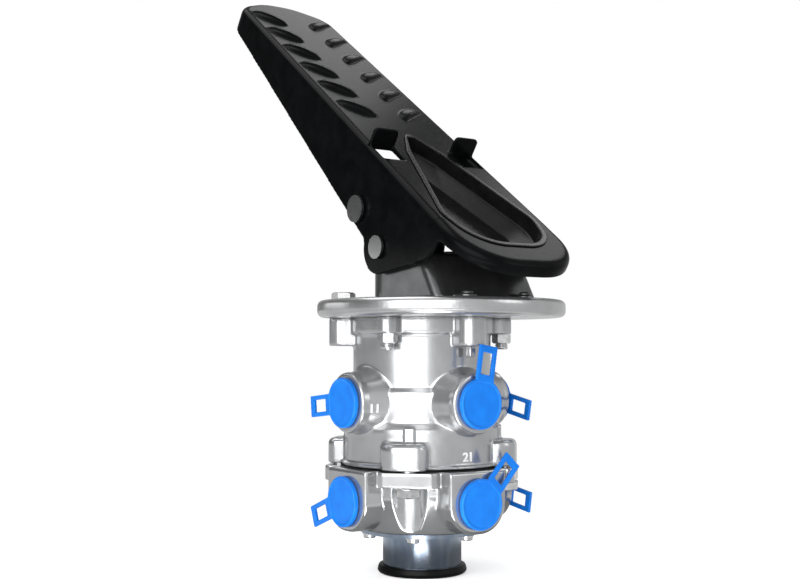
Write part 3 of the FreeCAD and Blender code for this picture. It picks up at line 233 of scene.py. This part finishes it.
def finish(piece, body, skin, node, crease):
    """Puts a finished piece in the row's frame, on its body, for the node that it replaces."""
    moved(piece, TO_ROW)
    piece.data.shade_smooth()
    piece.data.set_sharp_from_angle(angle=math.radians(crease))
    piece.data.materials.clear()
    piece.data.materials.append(skin)
    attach(piece, body)
    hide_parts(node)


def dress(skin, *nodes):
    """Gives CAD nodes that keep their own shape a material."""
    for node in nodes:
        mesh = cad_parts[node].data
        mesh.materials.clear()
        mesh.materials.append(skin)


# Materials

def look(name, dark, light, roughness, metallic=0.0, grain=0.4, depth=0.05, mottle=6.0,
         edge_wear_and_highlight=None, specular=0.5, spread=0.08, streak=(1, 1, 1)):
    """Surface with mottled colour and roughness, a fine grain, and paler or darker edges that stand for wear
    and for a painted highlight.

    Grain and mottle are sizes in millimetres; depth is the grain's height."""
    material = bpy.data.materials.new(name)
    material.use_nodes = True
    nodes, links = material.node_tree.nodes, material.node_tree.links
    shader = nodes["Principled BSDF"]
    shader.inputs["Metallic"].default_value = metallic
    shader.inputs["Specular IOR Level"].default_value = specular
    place = nodes.new("ShaderNodeTexCoord")
    stretch = nodes.new("ShaderNodeMapping")
    stretch.inputs["Scale"].default_value = streak
    links.new(place.outputs["Object"], stretch.inputs["Vector"])

    def noise(size, detail):
        texture = nodes.new("ShaderNodeTexNoise")
        texture.inputs["Scale"].default_value = 1 / (size * MM)
        texture.inputs["Detail"].default_value = detail
        links.new(stretch.outputs["Vector"], texture.inputs["Vector"])
        return texture.outputs["Fac"]

    tone = nodes.new("ShaderNodeValToRGB")
    for stop, position, shade in zip(tone.color_ramp.elements, (0.35, 0.65), (dark, light)):
        stop.position = position
        stop.color = (*shade, 1)
    links.new(noise(mottle, 4), tone.inputs["Fac"])
    colour = tone.outputs["Color"]
    # Edges and crests found by pointiness take another colour: wear, and a painted highlight along them.
    if edge_wear_and_highlight:
        edge = nodes.new("ShaderNodeNewGeometry")
        sharp = nodes.new("ShaderNodeMapRange")
        sharp.inputs["From Min"].default_value = 0.52
        sharp.inputs["From Max"].default_value = 0.62
        links.new(edge.outputs["Pointiness"], sharp.inputs["Value"])
        mix = nodes.new("ShaderNodeMix")
        mix.data_type = "RGBA"
        links.new(sharp.outputs["Result"], mix.inputs["Factor"])
        links.new(colour, mix.inputs[6])
        mix.inputs[7].default_value = (*edge_wear_and_highlight, 1)
        colour = mix.outputs[2]
    links.new(colour, shader.inputs["Base Color"])
    gloss = nodes.new("ShaderNodeMapRange")
    gloss.inputs["To Min"].default_value = roughness - spread
    gloss.inputs["To Max"].default_value = roughness + spread
    links.new(noise(mottle / 3, 3), gloss.inputs["Value"])
    links.new(gloss.outputs["Result"], shader.inputs["Roughness"])
    bump = nodes.new("ShaderNodeBump")
    bump.inputs["Distance"].default_value = depth * MM
    links.new(noise(grain, 3), bump.inputs["Height"])
    links.new(bump.outputs["Normal"], shader.inputs["Normal"])
    return material


def grey(level, tint=0.0):
    return level * (1 - tint), level, level * (1 + tint)


CAST = look("cast_silver", grey(0.42, 0.015), grey(0.48, 0.018), 0.25, metallic=0.85, grain=0.9,
            depth=0.012, mottle=14, edge_wear_and_highlight=grey(0.6), spread=0.03)
CAST_LOWER = look("cast_silver_lower", grey(0.42, 0.015), grey(0.48, 0.018), 0.16, metallic=0.85,
                  grain=0.9, depth=0.012, mottle=14, edge_wear_and_highlight=grey(0.6), spread=0.03)
# Pale material for the raised figures: a painted highlight that makes them stand out from the casting.
PALE = look("figures_painted_highlight", grey(0.72), grey(0.8), 0.5, metallic=0.2, grain=0.4, depth=0.01, mottle=3)
FLANGE = look("flange_silver", grey(0.42, 0.01), grey(0.48, 0.01), 0.24, metallic=0.85, grain=1.1,
              depth=0.012, mottle=18, edge_wear_and_highlight=grey(0.65), spread=0.03)
BLACK = look("coated_black", grey(0.0022, 0.1), grey(0.004, 0.08), 0.22, grain=0.5, depth=0.003,
             mottle=9, edge_wear_and_highlight=grey(0.012), specular=0.04, spread=0.03)
SATIN = look("satin_black", grey(0.10, 0.02), grey(0.13, 0.02), 0.24, metallic=0.8, grain=0.5,
             depth=0.002, mottle=9, edge_wear_and_highlight=grey(0.16), spread=0.02)
MOULDED = look("moulded_black", grey(0.004), grey(0.007), 0.26, grain=0.35, depth=0.006, mottle=8,
               edge_wear_and_highlight=grey(0.03), specular=0.16, spread=0.04)
BLUE = look("cap_blue", (0.0, 0.15, 0.62), (0.001, 0.18, 0.70), 0.4, grain=0.7, depth=0.015,
            mottle=7, edge_wear_and_highlight=(0.02, 0.26, 0.85), specular=0.3)
ZINC = look("zinc_plate", (0.20, 0.25, 0.33), (0.30, 0.34, 0.40), 0.17, metallic=1.0, grain=0.3,
            depth=0.005, mottle=5, streak=(1, 1, 0.25), spread=0.03)
RUBBER = look("black_rubber", grey(0.002), grey(0.004), 0.4, grain=0.25, depth=0.02, mottle=4,
              specular=0.12)
BRIGHT = look("bright_zinc", (0.55, 0.56, 0.57), (0.70, 0.70, 0.70), 0.22, metallic=1.0,
              grain=0.3, depth=0.01, mottle=3)
OXIDE = look("black_oxide", grey(0.02), grey(0.045), 0.35, metallic=0.6, grain=0.3, depth=0.02,
             mottle=2, edge_wear_and_highlight=grey(0.12))
PIN = look("pin_steel", (0.065, 0.08, 0.095), (0.10, 0.115, 0.13), 0.3, metallic=1.0, grain=0.25,
           depth=0.004, mottle=3, edge_wear_and_highlight=grey(0.4))
TURNED = look("turned_alloy", grey(0.45), grey(0.56), 0.28, metallic=1.0, grain=0.2, depth=0.006,
              mottle=3, streak=(0.1, 0.1, 4))
SPRING = look("spring_steel", grey(0.30), grey(0.42), 0.3, metallic=1.0, grain=0.3, depth=0.01,
              mottle=2)
NYLON = look("roller_nylon", grey(0.03), grey(0.05), 0.5, grain=0.4, depth=0.02, mottle=4)
BRASS = look("guide_brass", (0.52, 0.36, 0.13), (0.62, 0.45, 0.18), 0.3, metallic=1.0, grain=0.2,
             depth=0.006, mottle=3)


# Castings

SEAM_LEVEL = -86.0
SKIRT_RADIUS = 46.0
LIP_WIDTH = 1.85
LIP_HEIGHT = 2.0

LUG_TOP = -71.0
LUG_ROOT, LUG_FACE = 38.0, 56.0
LUG_TOE_SIDE, LUG_HEEL_SIDE = -16.5, 10.5
LUG_TOE_ROUND, LUG_HEEL_ROUND, LUG_TOP_ROUND = 11.0, 6.0, 3.4
LUG_ANGLES = {"radius": 0, "start": -45, "count": 4, "level": 0}
CLEARED_RADIUS = 60.0
CLEARED_ANGLE = 17.0

RIB_ROOT, RIB_FACE = 40.0, 47.1
RIB_HALF = 2.7
RIB_TOP = -62.5

CASTING_GRID = 0.7
HOUSING_PASSES = 6
FLANGE_PASSES = 4

# Raised figures: name, text, height, spot on the wall, direction that they face.
FIGURES = (
    ("figures_11", "11", 4.6, (18.1, -46.4, -51.9), (0.94, -0.3, -0.15)),
    ("figures_21", "21", 4.8, (45.95, -1.4, -79.4), (1, -0.03, 0)))
FIGURE_RAISED = 0.55
FIGURE_EDGE = 0.12
FONT_PER_HEIGHT = 1.5


def sector(inner, outer, reach):
    return arc(inner, -reach, reach) + arc(outer, reach, -reach)


def seam_lug(name):
    """Domed lug over a seam bolt with the rib above it, pointing along X."""
    outline = rounded([
        (LUG_ROOT, LUG_TOE_SIDE), (LUG_FACE, LUG_TOE_SIDE, LUG_TOE_ROUND),
        (LUG_FACE, LUG_HEEL_SIDE, LUG_HEEL_ROUND), (LUG_ROOT, LUG_HEEL_SIDE)])
    lug = prism(name + "_dome", outline, SEAM_LEVEL, LUG_TOP, LUG_TOP_ROUND)
    footprint = box_corners(RIB_ROOT, RIB_FACE, -RIB_HALF, RIB_HALF)
    rib = prism(name + "_rib", footprint, LUG_TOP - 1, RIB_TOP)
    return joined(name, [lug, rib])


def clear_skirt(name):
    """Room for the domed lug: what stands out of the skirt above its lip."""
    room = sector(SKIRT_RADIUS + 0.05, CLEARED_RADIUS, CLEARED_ANGLE)
    return prism(name, room, SEAM_LEVEL + LIP_HEIGHT, LUG_TOP + 3)


def clear_lip(name):
    """Room for the domed lug beside the lip that runs round the seam."""
    room = sector(SKIRT_RADIUS + LIP_WIDTH, CLEARED_RADIUS, CLEARED_ANGLE)
    return prism(name, room, SEAM_LEVEL - 0.5, SEAM_LEVEL + LIP_HEIGHT + 0.3)


def figures(name, text, height, spot, outward):
    """Raised figures on a wall, centred on a spot and facing outward."""
    curve = bpy.data.curves.new(name, "FONT")
    curve.body = text
    curve.size = height * FONT_PER_HEIGHT
    curve.align_x = "CENTER"
    curve.align_y = "CENTER"
    curve.extrude = FIGURE_RAISED
    curve.bevel_depth = FIGURE_EDGE
    shape = new_object(name + "_curve", curve)
    mesh = evaluated(shape)
    bpy.data.objects.remove(shape)
    facing = Vector(outward).normalized()
    across = Vector((0, 0, 1)).cross(facing).normalized()
    turn = Matrix((across, facing.cross(across), facing)).transposed().to_4x4()
    return moved(new_object(name, mesh), Matrix.Translation(spot) @ turn)


def make_upper_casting():
    """Upper housing with domed seam lugs; the raised figures on it are its last faces, pale as a painted
    highlight.
    """
    upper = solid_of("upper_housing")
    for clear in (clear_skirt, clear_lip):
        upper = carve(upper, [ring_of("clearing", clear, **LUG_ANGLES)])
    lugs = ring_of("seam_lugs", seam_lug, **LUG_ANGLES)
    upper = cast("upper_body", [upper, lugs], CASTING_GRID, HOUSING_PASSES)
    raised = [figures(*row) for row in FIGURES]
    first_raised = len(upper.data.polygons)
    upper = joined("upper_casting", [upper, *raised])
    finish(upper, "valve", CAST, "upper_housing", CAST_CREASE)
    # The figures' faces take the pale material, a painted highlight.
    upper.data.materials.append(PALE)
    for face in upper.data.polygons[first_raised:]:
        face.material_index = 1


def make_castings():
    make_upper_casting()
    lower = cast("lower_casting", [solid_of("lower_housing")], CASTING_GRID, HOUSING_PASSES)
    finish(lower, "valve", CAST_LOWER, "lower_housing", CAST_CREASE)
    flange = cast("flange_casting", [solid_of("mounting_flange")], CASTING_GRID, FLANGE_PASSES)
    finish(flange, "valve", FLANGE, "mounting_flange", CAST_CREASE)


# Treadle and pedestal

# The treadle is worked on lying flat, its toe toward -X, and turned back afterwards.
FLAT = Matrix.Rotation(math.radians(-36), 4, "Y")
PLATE_TOP = 82.52
LIP_START = 34.0
LIP_FOOT = 74.8
LIP_SQUEEZE = 0.05
HEEL_END = 69.0
HEEL_HALF = 41.5
HEEL_CORNER = 33.0
HEEL_ROUND = 6.0
HEEL_PASSES = 36

LOUVRES = 6
LOUVRE_PITCH = 27.6
FIRST_LOUVRE = -108.95
FAR_ROW = 21.0
LOUVRE_TURN = Matrix.Rotation(math.radians(-52.7), 4, "Z")
FAR_ROW_AREA = (-275, -95, 6, 38)
HOOD_HALF_LENGTH, HOOD_HALF_WIDTH, HOOD_HEIGHT = 13.0, 7.0, 2.4
HOOD_FRONT = 1.0
FLOOR_DEEP = 2.7

PRESSED_GRID = 0.6
TREADLE_PASSES = 3
PEDESTAL_PASSES = 4
DISH_GRID = 0.45
DISH_PASSES = 4


def from_heel_edge(x, y):
    """How far a point of the flat treadle lies inside the outline of its heel."""
    along, across = x - (HEEL_END - HEEL_CORNER), abs(y) - (HEEL_HALF - HEEL_CORNER)
    if along > 0 and across > 0:
        return HEEL_CORNER - math.hypot(along, across)
    return HEEL_CORNER - max(along, across)


def round_heel(treadle):
    """Lifts the foot of the heel's skirt and rounds the heel's edge broadly."""
    lip = treadle.vertex_groups.new(name="lip")
    rim = []
    for vert in treadle.data.vertices:
        x, y, z = vert.co
        if x > LIP_START and z < LIP_FOOT:
            vert.co.z = LIP_FOOT + (z - LIP_FOOT) * LIP_SQUEEZE
        if x > LIP_START - 10 and from_heel_edge(x, y) < HEEL_ROUND:
            rim.append(vert.index)
    lip.add(rim, 1.0, "REPLACE")
    rounding = treadle.modifiers.new("rounding", "SMOOTH")
    rounding.factor = 0.5
    rounding.iterations = HEEL_PASSES
    rounding.vertex_group = "lip"
    return apply_modifiers(treadle)


def far_hood(index):
    """Low hood of the far row on its closed floor, cut off upright on the side away from the toe."""
    name = f"far_hood_{index}"
    floor_outline = oval(HOOD_HALF_LENGTH + 0.6, HOOD_HALF_WIDTH + 0.4)
    floor = prism(name + "_floor", floor_outline, -FLOOR_DEEP, 0)
    dome = lathe(name + "_dome", arc(1, -90, 90), 60)
    moved(dome, Matrix.Diagonal((HOOD_HALF_LENGTH, HOOD_HALF_WIDTH, HOOD_HEIGHT, 1)))
    past = HOOD_HALF_LENGTH + 2
    front = box_corners(-past, past, HOOD_FRONT, HOOD_HALF_WIDTH + 2)
    dome = carve(dome, [prism(name + "_front", front, -HOOD_HEIGHT - 1.6, HOOD_HEIGHT + 1.6)])
    spot = Matrix.Translation((FIRST_LOUVRE - LOUVRE_PITCH * index, FAR_ROW, PLATE_TOP))
    return moved(joined(name, [floor, dome]), spot @ LOUVRE_TURN)


def make_treadle():
    treadle = moved(solid_of("treadle"), FLAT)
    above = prism("above_far_row", box_corners(*FAR_ROW_AREA), PLATE_TOP, PLATE_TOP + 8)
    treadle = carve(treadle, [above])
    hoods = [far_hood(index) for index in range(LOUVRES)]
    treadle = cast("treadle_shell", [treadle, *hoods], PRESSED_GRID, TREADLE_PASSES)
    treadle = moved(round_heel(treadle), FLAT.inverted())
    finish(treadle, "pedal", BLACK, "treadle", CAST_CREASE)


def make_pressings():
    make_treadle()
    dish = moved(solid_of("heel_dish"), FLAT)
    dish = moved(cast("dish_shell", [dish], DISH_GRID, DISH_PASSES), FLAT.inverted())
    finish(dish, "pedal", MOULDED, "heel_dish", CAST_CREASE)
    pedestal = cast("pedestal_shell", [solid_of("pedestal")], PRESSED_GRID, PEDESTAL_PASSES)
    finish(pedestal, "valve", SATIN, "pedestal", CAST_CREASE)


# Caps and fasteners

CAP_GRID = 0.34
CAP_PASSES = 3


def make_caps():
    """Each port cap is a body of its own, with the name of its node."""
    for node in [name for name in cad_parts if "_cap_" in name]:
        cap = cast(node + "_moulding", [solid_of(node)], CAP_GRID, CAP_PASSES)
        finish(cap, node, BLUE, node, CAP_CREASE)


UPSIDE_DOWN = Matrix.Rotation(math.pi, 4, "X")
M8 = 4.0
PITCH = 1.25
BOLT_FLATS = 12.4
SEAM_HEAD_HEIGHT = 4.4
TOP_HEAD_HEIGHT = 5.3
BOLT_SINK = 24.0
STUD_FOOT, STUD_TIP = -18.5, 9.9
NUT_FLATS, NUT_HEIGHT = 10.0, 5.5
NUT_GAP = 0.1
WASHER = 0.95


def hexagon(flats):
    return [ring_spot(flats / math.sqrt(3), 60 * i) for i in range(6)]


def hex_head(name, flats, height, chamfer=0.13):
    """Hexagon head standing on Z = 0, its top corners turned off."""
    head = prism(name, hexagon(flats), 0, height)
    corner = flats / math.sqrt(3) + 0.02
    cone = lathe(name + "_cone", [
        (0, -1), (corner, -1), (corner, height * (1 - chamfer) - 0.2),
        (flats / 2 - 0.2, height), (0, height)], 96)
    return carve(head, [cone], "INTERSECT")


def thread(name, radius, low, high):
    """Threaded rod between two heights, its end chamfered."""
    deep = PITCH * 0.55
    profile = [(0, low), (radius - deep, low), (radius - 0.2, low + deep)]
    level = low + deep
    while level + PITCH < high:
        profile += [(radius, level + PITCH * 0.4), (radius, level + PITCH * 0.5),
                    (radius - deep, level + PITCH * 0.9), (radius - deep, level + PITCH)]
        level += PITCH
    return lathe(name, profile + [(radius, high), (0, high)], 48)


def ring_of(name, make, radius, start, count, level, turn=0.0, flip=False):
    """Repeats a small piece round the valve's axis."""
    pieces = []
    for i in range(count):
        angle = start + 360 * i / count
        spot = Matrix.Translation((*ring_spot(radius, angle), level))
        spin = Matrix.Rotation(math.radians(angle + turn * (i + 1)), 4, "Z")
        piece = make(f"{name}_{i}")
        pieces.append(moved(piece, spot @ spin @ (UPSIDE_DOWN if flip else Matrix())))
    return joined(name, pieces)


def housing_bolt(name):
    """Bolt head on a washer that stands on Z = 0, with the first of its shank below."""
    head = hex_head(name + "_head", BOLT_FLATS, SEAM_HEAD_HEIGHT)
    moved(head, Matrix.Translation((0, 0, WASHER - 0.05)))
    washer = lathe(name + "_washer", [
        (0, 0), (6.9, 0), (7.1, 0.2), (7.1, 0.75), (6.9, WASHER), (0, WASHER)], 64)
    shank = lathe(name + "_shank", [(0, -20), (3.2, -20), (M8, -19), (M8, 0.1), (0, 0.1)], 32)
    return joined(name, [head, washer, shank])


def flange_bolt(name):
    head = hex_head(name + "_head", BOLT_FLATS, TOP_HEAD_HEIGHT)
    return joined(name, [head, thread(name + "_shank", M8, -BOLT_SINK, 0.1)])


def flange_stud(name):
    return thread(name, M8, STUD_FOOT, STUD_TIP)


def stud_nut(name):
    blank = hex_head(name, NUT_FLATS, NUT_HEIGHT)
    hole = M8 + NUT_GAP
    past = NUT_HEIGHT + 1.5
    return carve(blank, [lathe(name + "_hole", [(0, -1), (hole, -1), (hole, past), (0, past)], 48)])


def outlet_screw(name):
    """Washer and pan head with a round recess, its shank below Z = 0."""
    return lathe(name, [
        (0, -9), (1.9, -9), (2.5, -8.2), (2.5, 0.1), (4.2, 0.1), (4.2, 0.7), (3.6, 0.8), (3.6, 2.4),
        (3.3, 2.85), (2.9, 2.95), (1.7, 2.95), (1.6, 1.5), (0, 1.2)], 40)


def foot_screw(name):
    """Low domed head with a round recess, its shank below Z = 0."""
    return lathe(name, [
        (0, -11), (1.5, -11), (2, -10.4), (2, 0.1), (3.4, 0.1), (3.4, 0.9), (2.8, 1.5), (1.9, 1.75),
        (1.3, 1.75), (1.2, 0.8), (0, 0.8)], 40)


SEAM_BOLT_CIRCLE, LUG_BOLT_CIRCLE, STUD_CIRCLE, OUTLET_CIRCLE = 50, 47, 48, 33
FLANGE_TOP = 10.0
COLLAR_FOOT = -9.5
SEAM_PAD_LEVEL = -95.4
OUTLET_LEVEL = -125.4
FOOT_SCREW_X, FOOT_SCREW_Y, FOOT_SCREW_LEVEL = 70.0, 20.6, 12.0

# Rings of fasteners: node, material, name, maker, radius, first angle, count, level, turn, upside down.
FASTENER_RINGS = (
    ("housing_bolts", BRIGHT, "seam_bolts", housing_bolt, SEAM_BOLT_CIRCLE, 45, 4, SEAM_PAD_LEVEL, 17, True),
    ("flange_bolts", PIN, "top_bolts", flange_bolt, LUG_BOLT_CIRCLE, 0, 3, FLANGE_TOP, 0, False),
    ("flange_studs", BRIGHT, "studs", flange_stud, STUD_CIRCLE, 60, 3, 0, 0, False),
    ("stud_nuts", BRIGHT, "nuts", stud_nut, STUD_CIRCLE, 60, 3, COLLAR_FOOT, 0, True),
    ("exhaust_screws", BRIGHT, "outlet_screws", outlet_screw, OUTLET_CIRCLE, 15, 6, OUTLET_LEVEL, 0, True))


def make_fasteners():
    """The rings of bolts, nuts and screws, and the two screws in front of the pedestal."""
    for node, skin, name, make, *ring in FASTENER_RINGS:
        finish(ring_of(name, make, *ring), "valve", skin, node, FASTENER_CREASE)
    pair = []
    for side in (-1, 1):
        spot = Matrix.Translation((FOOT_SCREW_X, side * FOOT_SCREW_Y, FOOT_SCREW_LEVEL))
        pair.append(moved(foot_screw(f"foot_screw_{side}"), spot))
    finish(joined("foot_screws", pair), "valve", OXIDE, "pedestal_screws", FASTENER_CREASE)


make_castings()
make_pressings()
make_caps()
make_fasteners()

dress(ZINC, "exhaust_tube", "pin_clip", "pivot_washers", "spacer_sleeves", "spring_plate")
dress(PIN, "roller_pin", "pivot_pins")
dress(RUBBER, "exhaust_ring", "exhaust_flap", "plunger_boot", "body_gasket", "graduating_spring",
      "piston_seal", "relay_seal")
dress(NYLON, "roller")
dress(TURNED, "plunger", "guide_bush", "primary_piston", "relay_piston")
dress(BRASS, "primary_valve", "secondary_valve", "primary_valve_guide", "secondary_valve_guide")
dress(SPRING, "piston_return_spring", "primary_valve_spring", "secondary_valve_spring",
      "primary_retaining_ring", "secondary_retaining_ring")


# Stage, light and camera

SEEN_LEVEL = 1.0
GLOSS_LEVEL = 0.72
FLOOR_GAP = 0.0003


def ramp(tree, value, start, stop, low, high):
    """Smooth change of level while a value runs from start to stop."""
    fade = tree.nodes.new("ShaderNodeMapRange")
    fade.interpolation_type = "SMOOTHSTEP"
    for socket, level in (("From Min", start), ("From Max", stop), ("To Min", low), ("To Max", high)):
        fade.inputs[socket].default_value = level
    tree.links.new(value, fade.inputs["Value"])
    return fade.outputs["Result"]


def combined(tree, operation, first, second):
    maths = tree.nodes.new("ShaderNodeMath")
    maths.operation = operation
    tree.links.new(first, maths.inputs[0])
    tree.links.new(second, maths.inputs[1])
    return maths.outputs[0]


def mixed(tree, factor, first, second):
    mix = tree.nodes.new("ShaderNodeMixShader")
    tree.links.new(factor, mix.inputs["Fac"])
    tree.links.new(first.outputs[0], mix.inputs[1])
    tree.links.new(second.outputs[0], mix.inputs[2])
    return mix


def seen_level(tree, gloss, other):
    """A brightness for what the camera sees, one for what metal mirrors and one for the rest."""
    rays = tree.nodes.new("ShaderNodeLightPath")
    in_mirror = tree.nodes.new("ShaderNodeMapRange")
    in_mirror.inputs["To Min"].default_value = other
    in_mirror.inputs["To Max"].default_value = gloss
    tree.links.new(rays.outputs["Is Glossy Ray"], in_mirror.inputs["Value"])
    straight = combined(tree, "MAXIMUM", rays.outputs["Is Camera Ray"], rays.outputs["Is Transmission Ray"])
    level = tree.nodes.new("ShaderNodeMapRange")
    level.inputs["To Max"].default_value = SEEN_LEVEL
    tree.links.new(straight, level.inputs["Value"])
    tree.links.new(in_mirror.outputs["Result"], level.inputs["To Min"])
    return level.outputs["Result"], in_mirror.inputs["To Max"]


def make_stage():
    """Floor that shows white far from the object and keeps its shadow near it."""
    bpy.ops.mesh.primitive_plane_add(size=60, location=(0, 0, cad_low.z - FLOOR_GAP))
    floor = bpy.context.object
    floor.name = "floor"
    material = bpy.data.materials.new("pale_floor")
    material.use_nodes = True
    tree = material.node_tree
    near = tree.nodes["Principled BSDF"]
    near.inputs["Base Color"].default_value = (0.9, 0.9, 0.9, 1)
    near.inputs["Roughness"].default_value = 0.85
    near.inputs["Specular IOR Level"].default_value = 0.1
    near.inputs["Emission Color"].default_value = (1, 1, 1, 1)
    near.inputs["Emission Strength"].default_value = 0.5
    place = tree.nodes.new("ShaderNodeTexCoord")
    length = tree.nodes.new("ShaderNodeVectorMath")
    length.operation = "LENGTH"
    tree.links.new(place.outputs["Object"], length.inputs[0])
    distance = length.outputs["Value"]

    far = tree.nodes.new("ShaderNodeEmission")
    tree.links.new(seen_level(tree, GLOSS_LEVEL, 0.5)[0], far.inputs["Strength"])
    # Metal mirrors the floor dim close to the object, bright a little way off and paler beyond.
    in_metal = tree.nodes.new("ShaderNodeEmission")
    rise = ramp(tree, distance, 0.12, 0.15, 0.22, 0.95)
    fall = ramp(tree, distance, 0.20, 0.26, 0.95, 0.5)
    tree.links.new(combined(tree, "MINIMUM", rise, fall), in_metal.inputs["Strength"])
    rays = tree.nodes.new("ShaderNodeLightPath")
    near = mixed(tree, rays.outputs["Is Glossy Ray"], near, in_metal)
    floor_look = mixed(tree, ramp(tree, distance, 0.12, 0.45, 0, 1), near, far)
    tree.links.new(floor_look.outputs[0], tree.nodes["Material Output"].inputs["Surface"])
    floor.data.materials.append(material)


def make_world():
    """White where it is seen; metal and gloss mirror a paler studio, darker behind and overhead."""
    world = bpy.data.worlds.new("studio")
    SCENE.world = world
    world.use_nodes = True
    tree = world.node_tree
    back = tree.nodes["Background"]
    back.inputs["Color"].default_value = (1, 1, 1, 1)
    place = tree.nodes.new("ShaderNodeTexCoord")

    def toward(direction):
        share = tree.nodes.new("ShaderNodeVectorMath")
        share.operation = "DOT_PRODUCT"
        share.inputs[1].default_value = direction
        tree.links.new(place.outputs["Generated"], share.inputs[0])
        return share.outputs["Value"]

    behind = ramp(tree, toward((-0.82, -0.57, 0)), 0.2, 0.92, GLOSS_LEVEL, 0.1)
    overhead = ramp(tree, toward((-0.42, 0.57, 0.71)), 0.75, 0.96, GLOSS_LEVEL, 0.25)
    level, gloss = seen_level(tree, GLOSS_LEVEL, 0.4)
    tree.links.new(combined(tree, "MINIMUM", behind, overhead), gloss)
    tree.links.new(level, back.inputs["Strength"])


def aim(item, target):
    item.rotation_mode = "QUATERNION"
    item.rotation_quaternion = (Vector(target) - item.location).to_track_quat("-Z", "Y")


def lamp(name, width, height, power):
    data = bpy.data.lights.new(name, "AREA")
    data.shape = "RECTANGLE"
    data.size = width
    data.size_y = height
    data.energy = power
    item = bpy.data.objects.new(name, data)
    SCENE.collection.objects.link(item)
    return item


# Softboxes round the object: name, azimuth (0 is the near side), elevation, distance, width, height, power.
SOFTBOXES = (
    ("key", 34, 15, 1.4, 1.5, 1.15, 20),
    ("fill", 120, 25, 1.5, 0.6, 0.8, 2.5),
    ("top", -60, 70, 1.4, 1.0, 1.0, 7),
    ("back_toe", -131, 46, 2.4, 0.5, 0.6, 2.2),
    ("back_heel", -157, 44, 2.4, 0.4, 0.6, 2.2))

# Cards that lie on the floor toward the camera: name, width, nearest, farthest, power.
FLOOR_CARDS = (
    ("tube_card", 0.064, 0.07, 0.20, 0.16),
    ("rim_card", 0.30, 0.27, 0.35, 0.3),
    ("housing_card", 0.06, 0.38, 0.56, 0.05),
    ("sweep_card", 1.2, 0.85, 1.5, 4.5))
CARD_TURN = math.radians(44)
CARD_LIFT = 0.004

# Card that the pedestal's near side mirrors: width, height and power, then millimetres.
SIDE_CARD = (0.11, 0.040, 0.018)
SIDE_CARD_SPOT = (-108, -141, 29)
PEDESTAL_SIDE = (38, -36.5, 25)


def make_softboxes():
    for name, azimuth, elevation, distance, width, height, power in SOFTBOXES:
        item = lamp(name, width, height, power)
        across, up = math.radians(azimuth), math.radians(elevation)
        direction = (math.sin(across) * math.cos(up), -math.cos(across) * math.cos(up), math.sin(up))
        item.location = Vector(direction) * distance
        aim(item, (0, 0, 0))


def make_cards():
    """Glowing cards that the camera doesn't see, only their mirror images in the metal."""
    for name, width, nearest, farthest, power in FLOOR_CARDS:
        item = lamp(name, width, farthest - nearest, power)
        middle = (nearest + farthest) / 2
        item.location = (math.sin(CARD_TURN) * middle, -math.cos(CARD_TURN) * middle, cad_low.z + CARD_LIFT)
        item.rotation_euler = (math.pi, 0, CARD_TURN)
        item.visible_camera = False
    item = lamp("side_card", *SIDE_CARD)
    item.location = TO_ROW @ Vector(SIDE_CARD_SPOT)
    aim(item, TO_ROW @ Vector(PEDESTAL_SIDE))
    item.visible_camera = False


CAMERA_SPOT = (595.3, -435.0, -18.2)
CAMERA_DIRECTION = (-0.8199, 0.5770, 0.0484)


def make_camera():
    """Stands where the photograph was taken from: low, to the heel side of the near side."""
    data = bpy.data.cameras.new("camera")
    data.sensor_width = 36
    data.lens = 55.38
    camera = bpy.data.objects.new("camera", data)
    SCENE.collection.objects.link(camera)
    camera.location = TO_ROW @ Vector(CAMERA_SPOT)
    aim(camera, camera.location + Vector(CAMERA_DIRECTION))
    SCENE.camera = camera


SCENE.view_settings.view_transform = "Standard"
make_stage()
make_world()
make_camera()
make_softboxes()
make_cards()
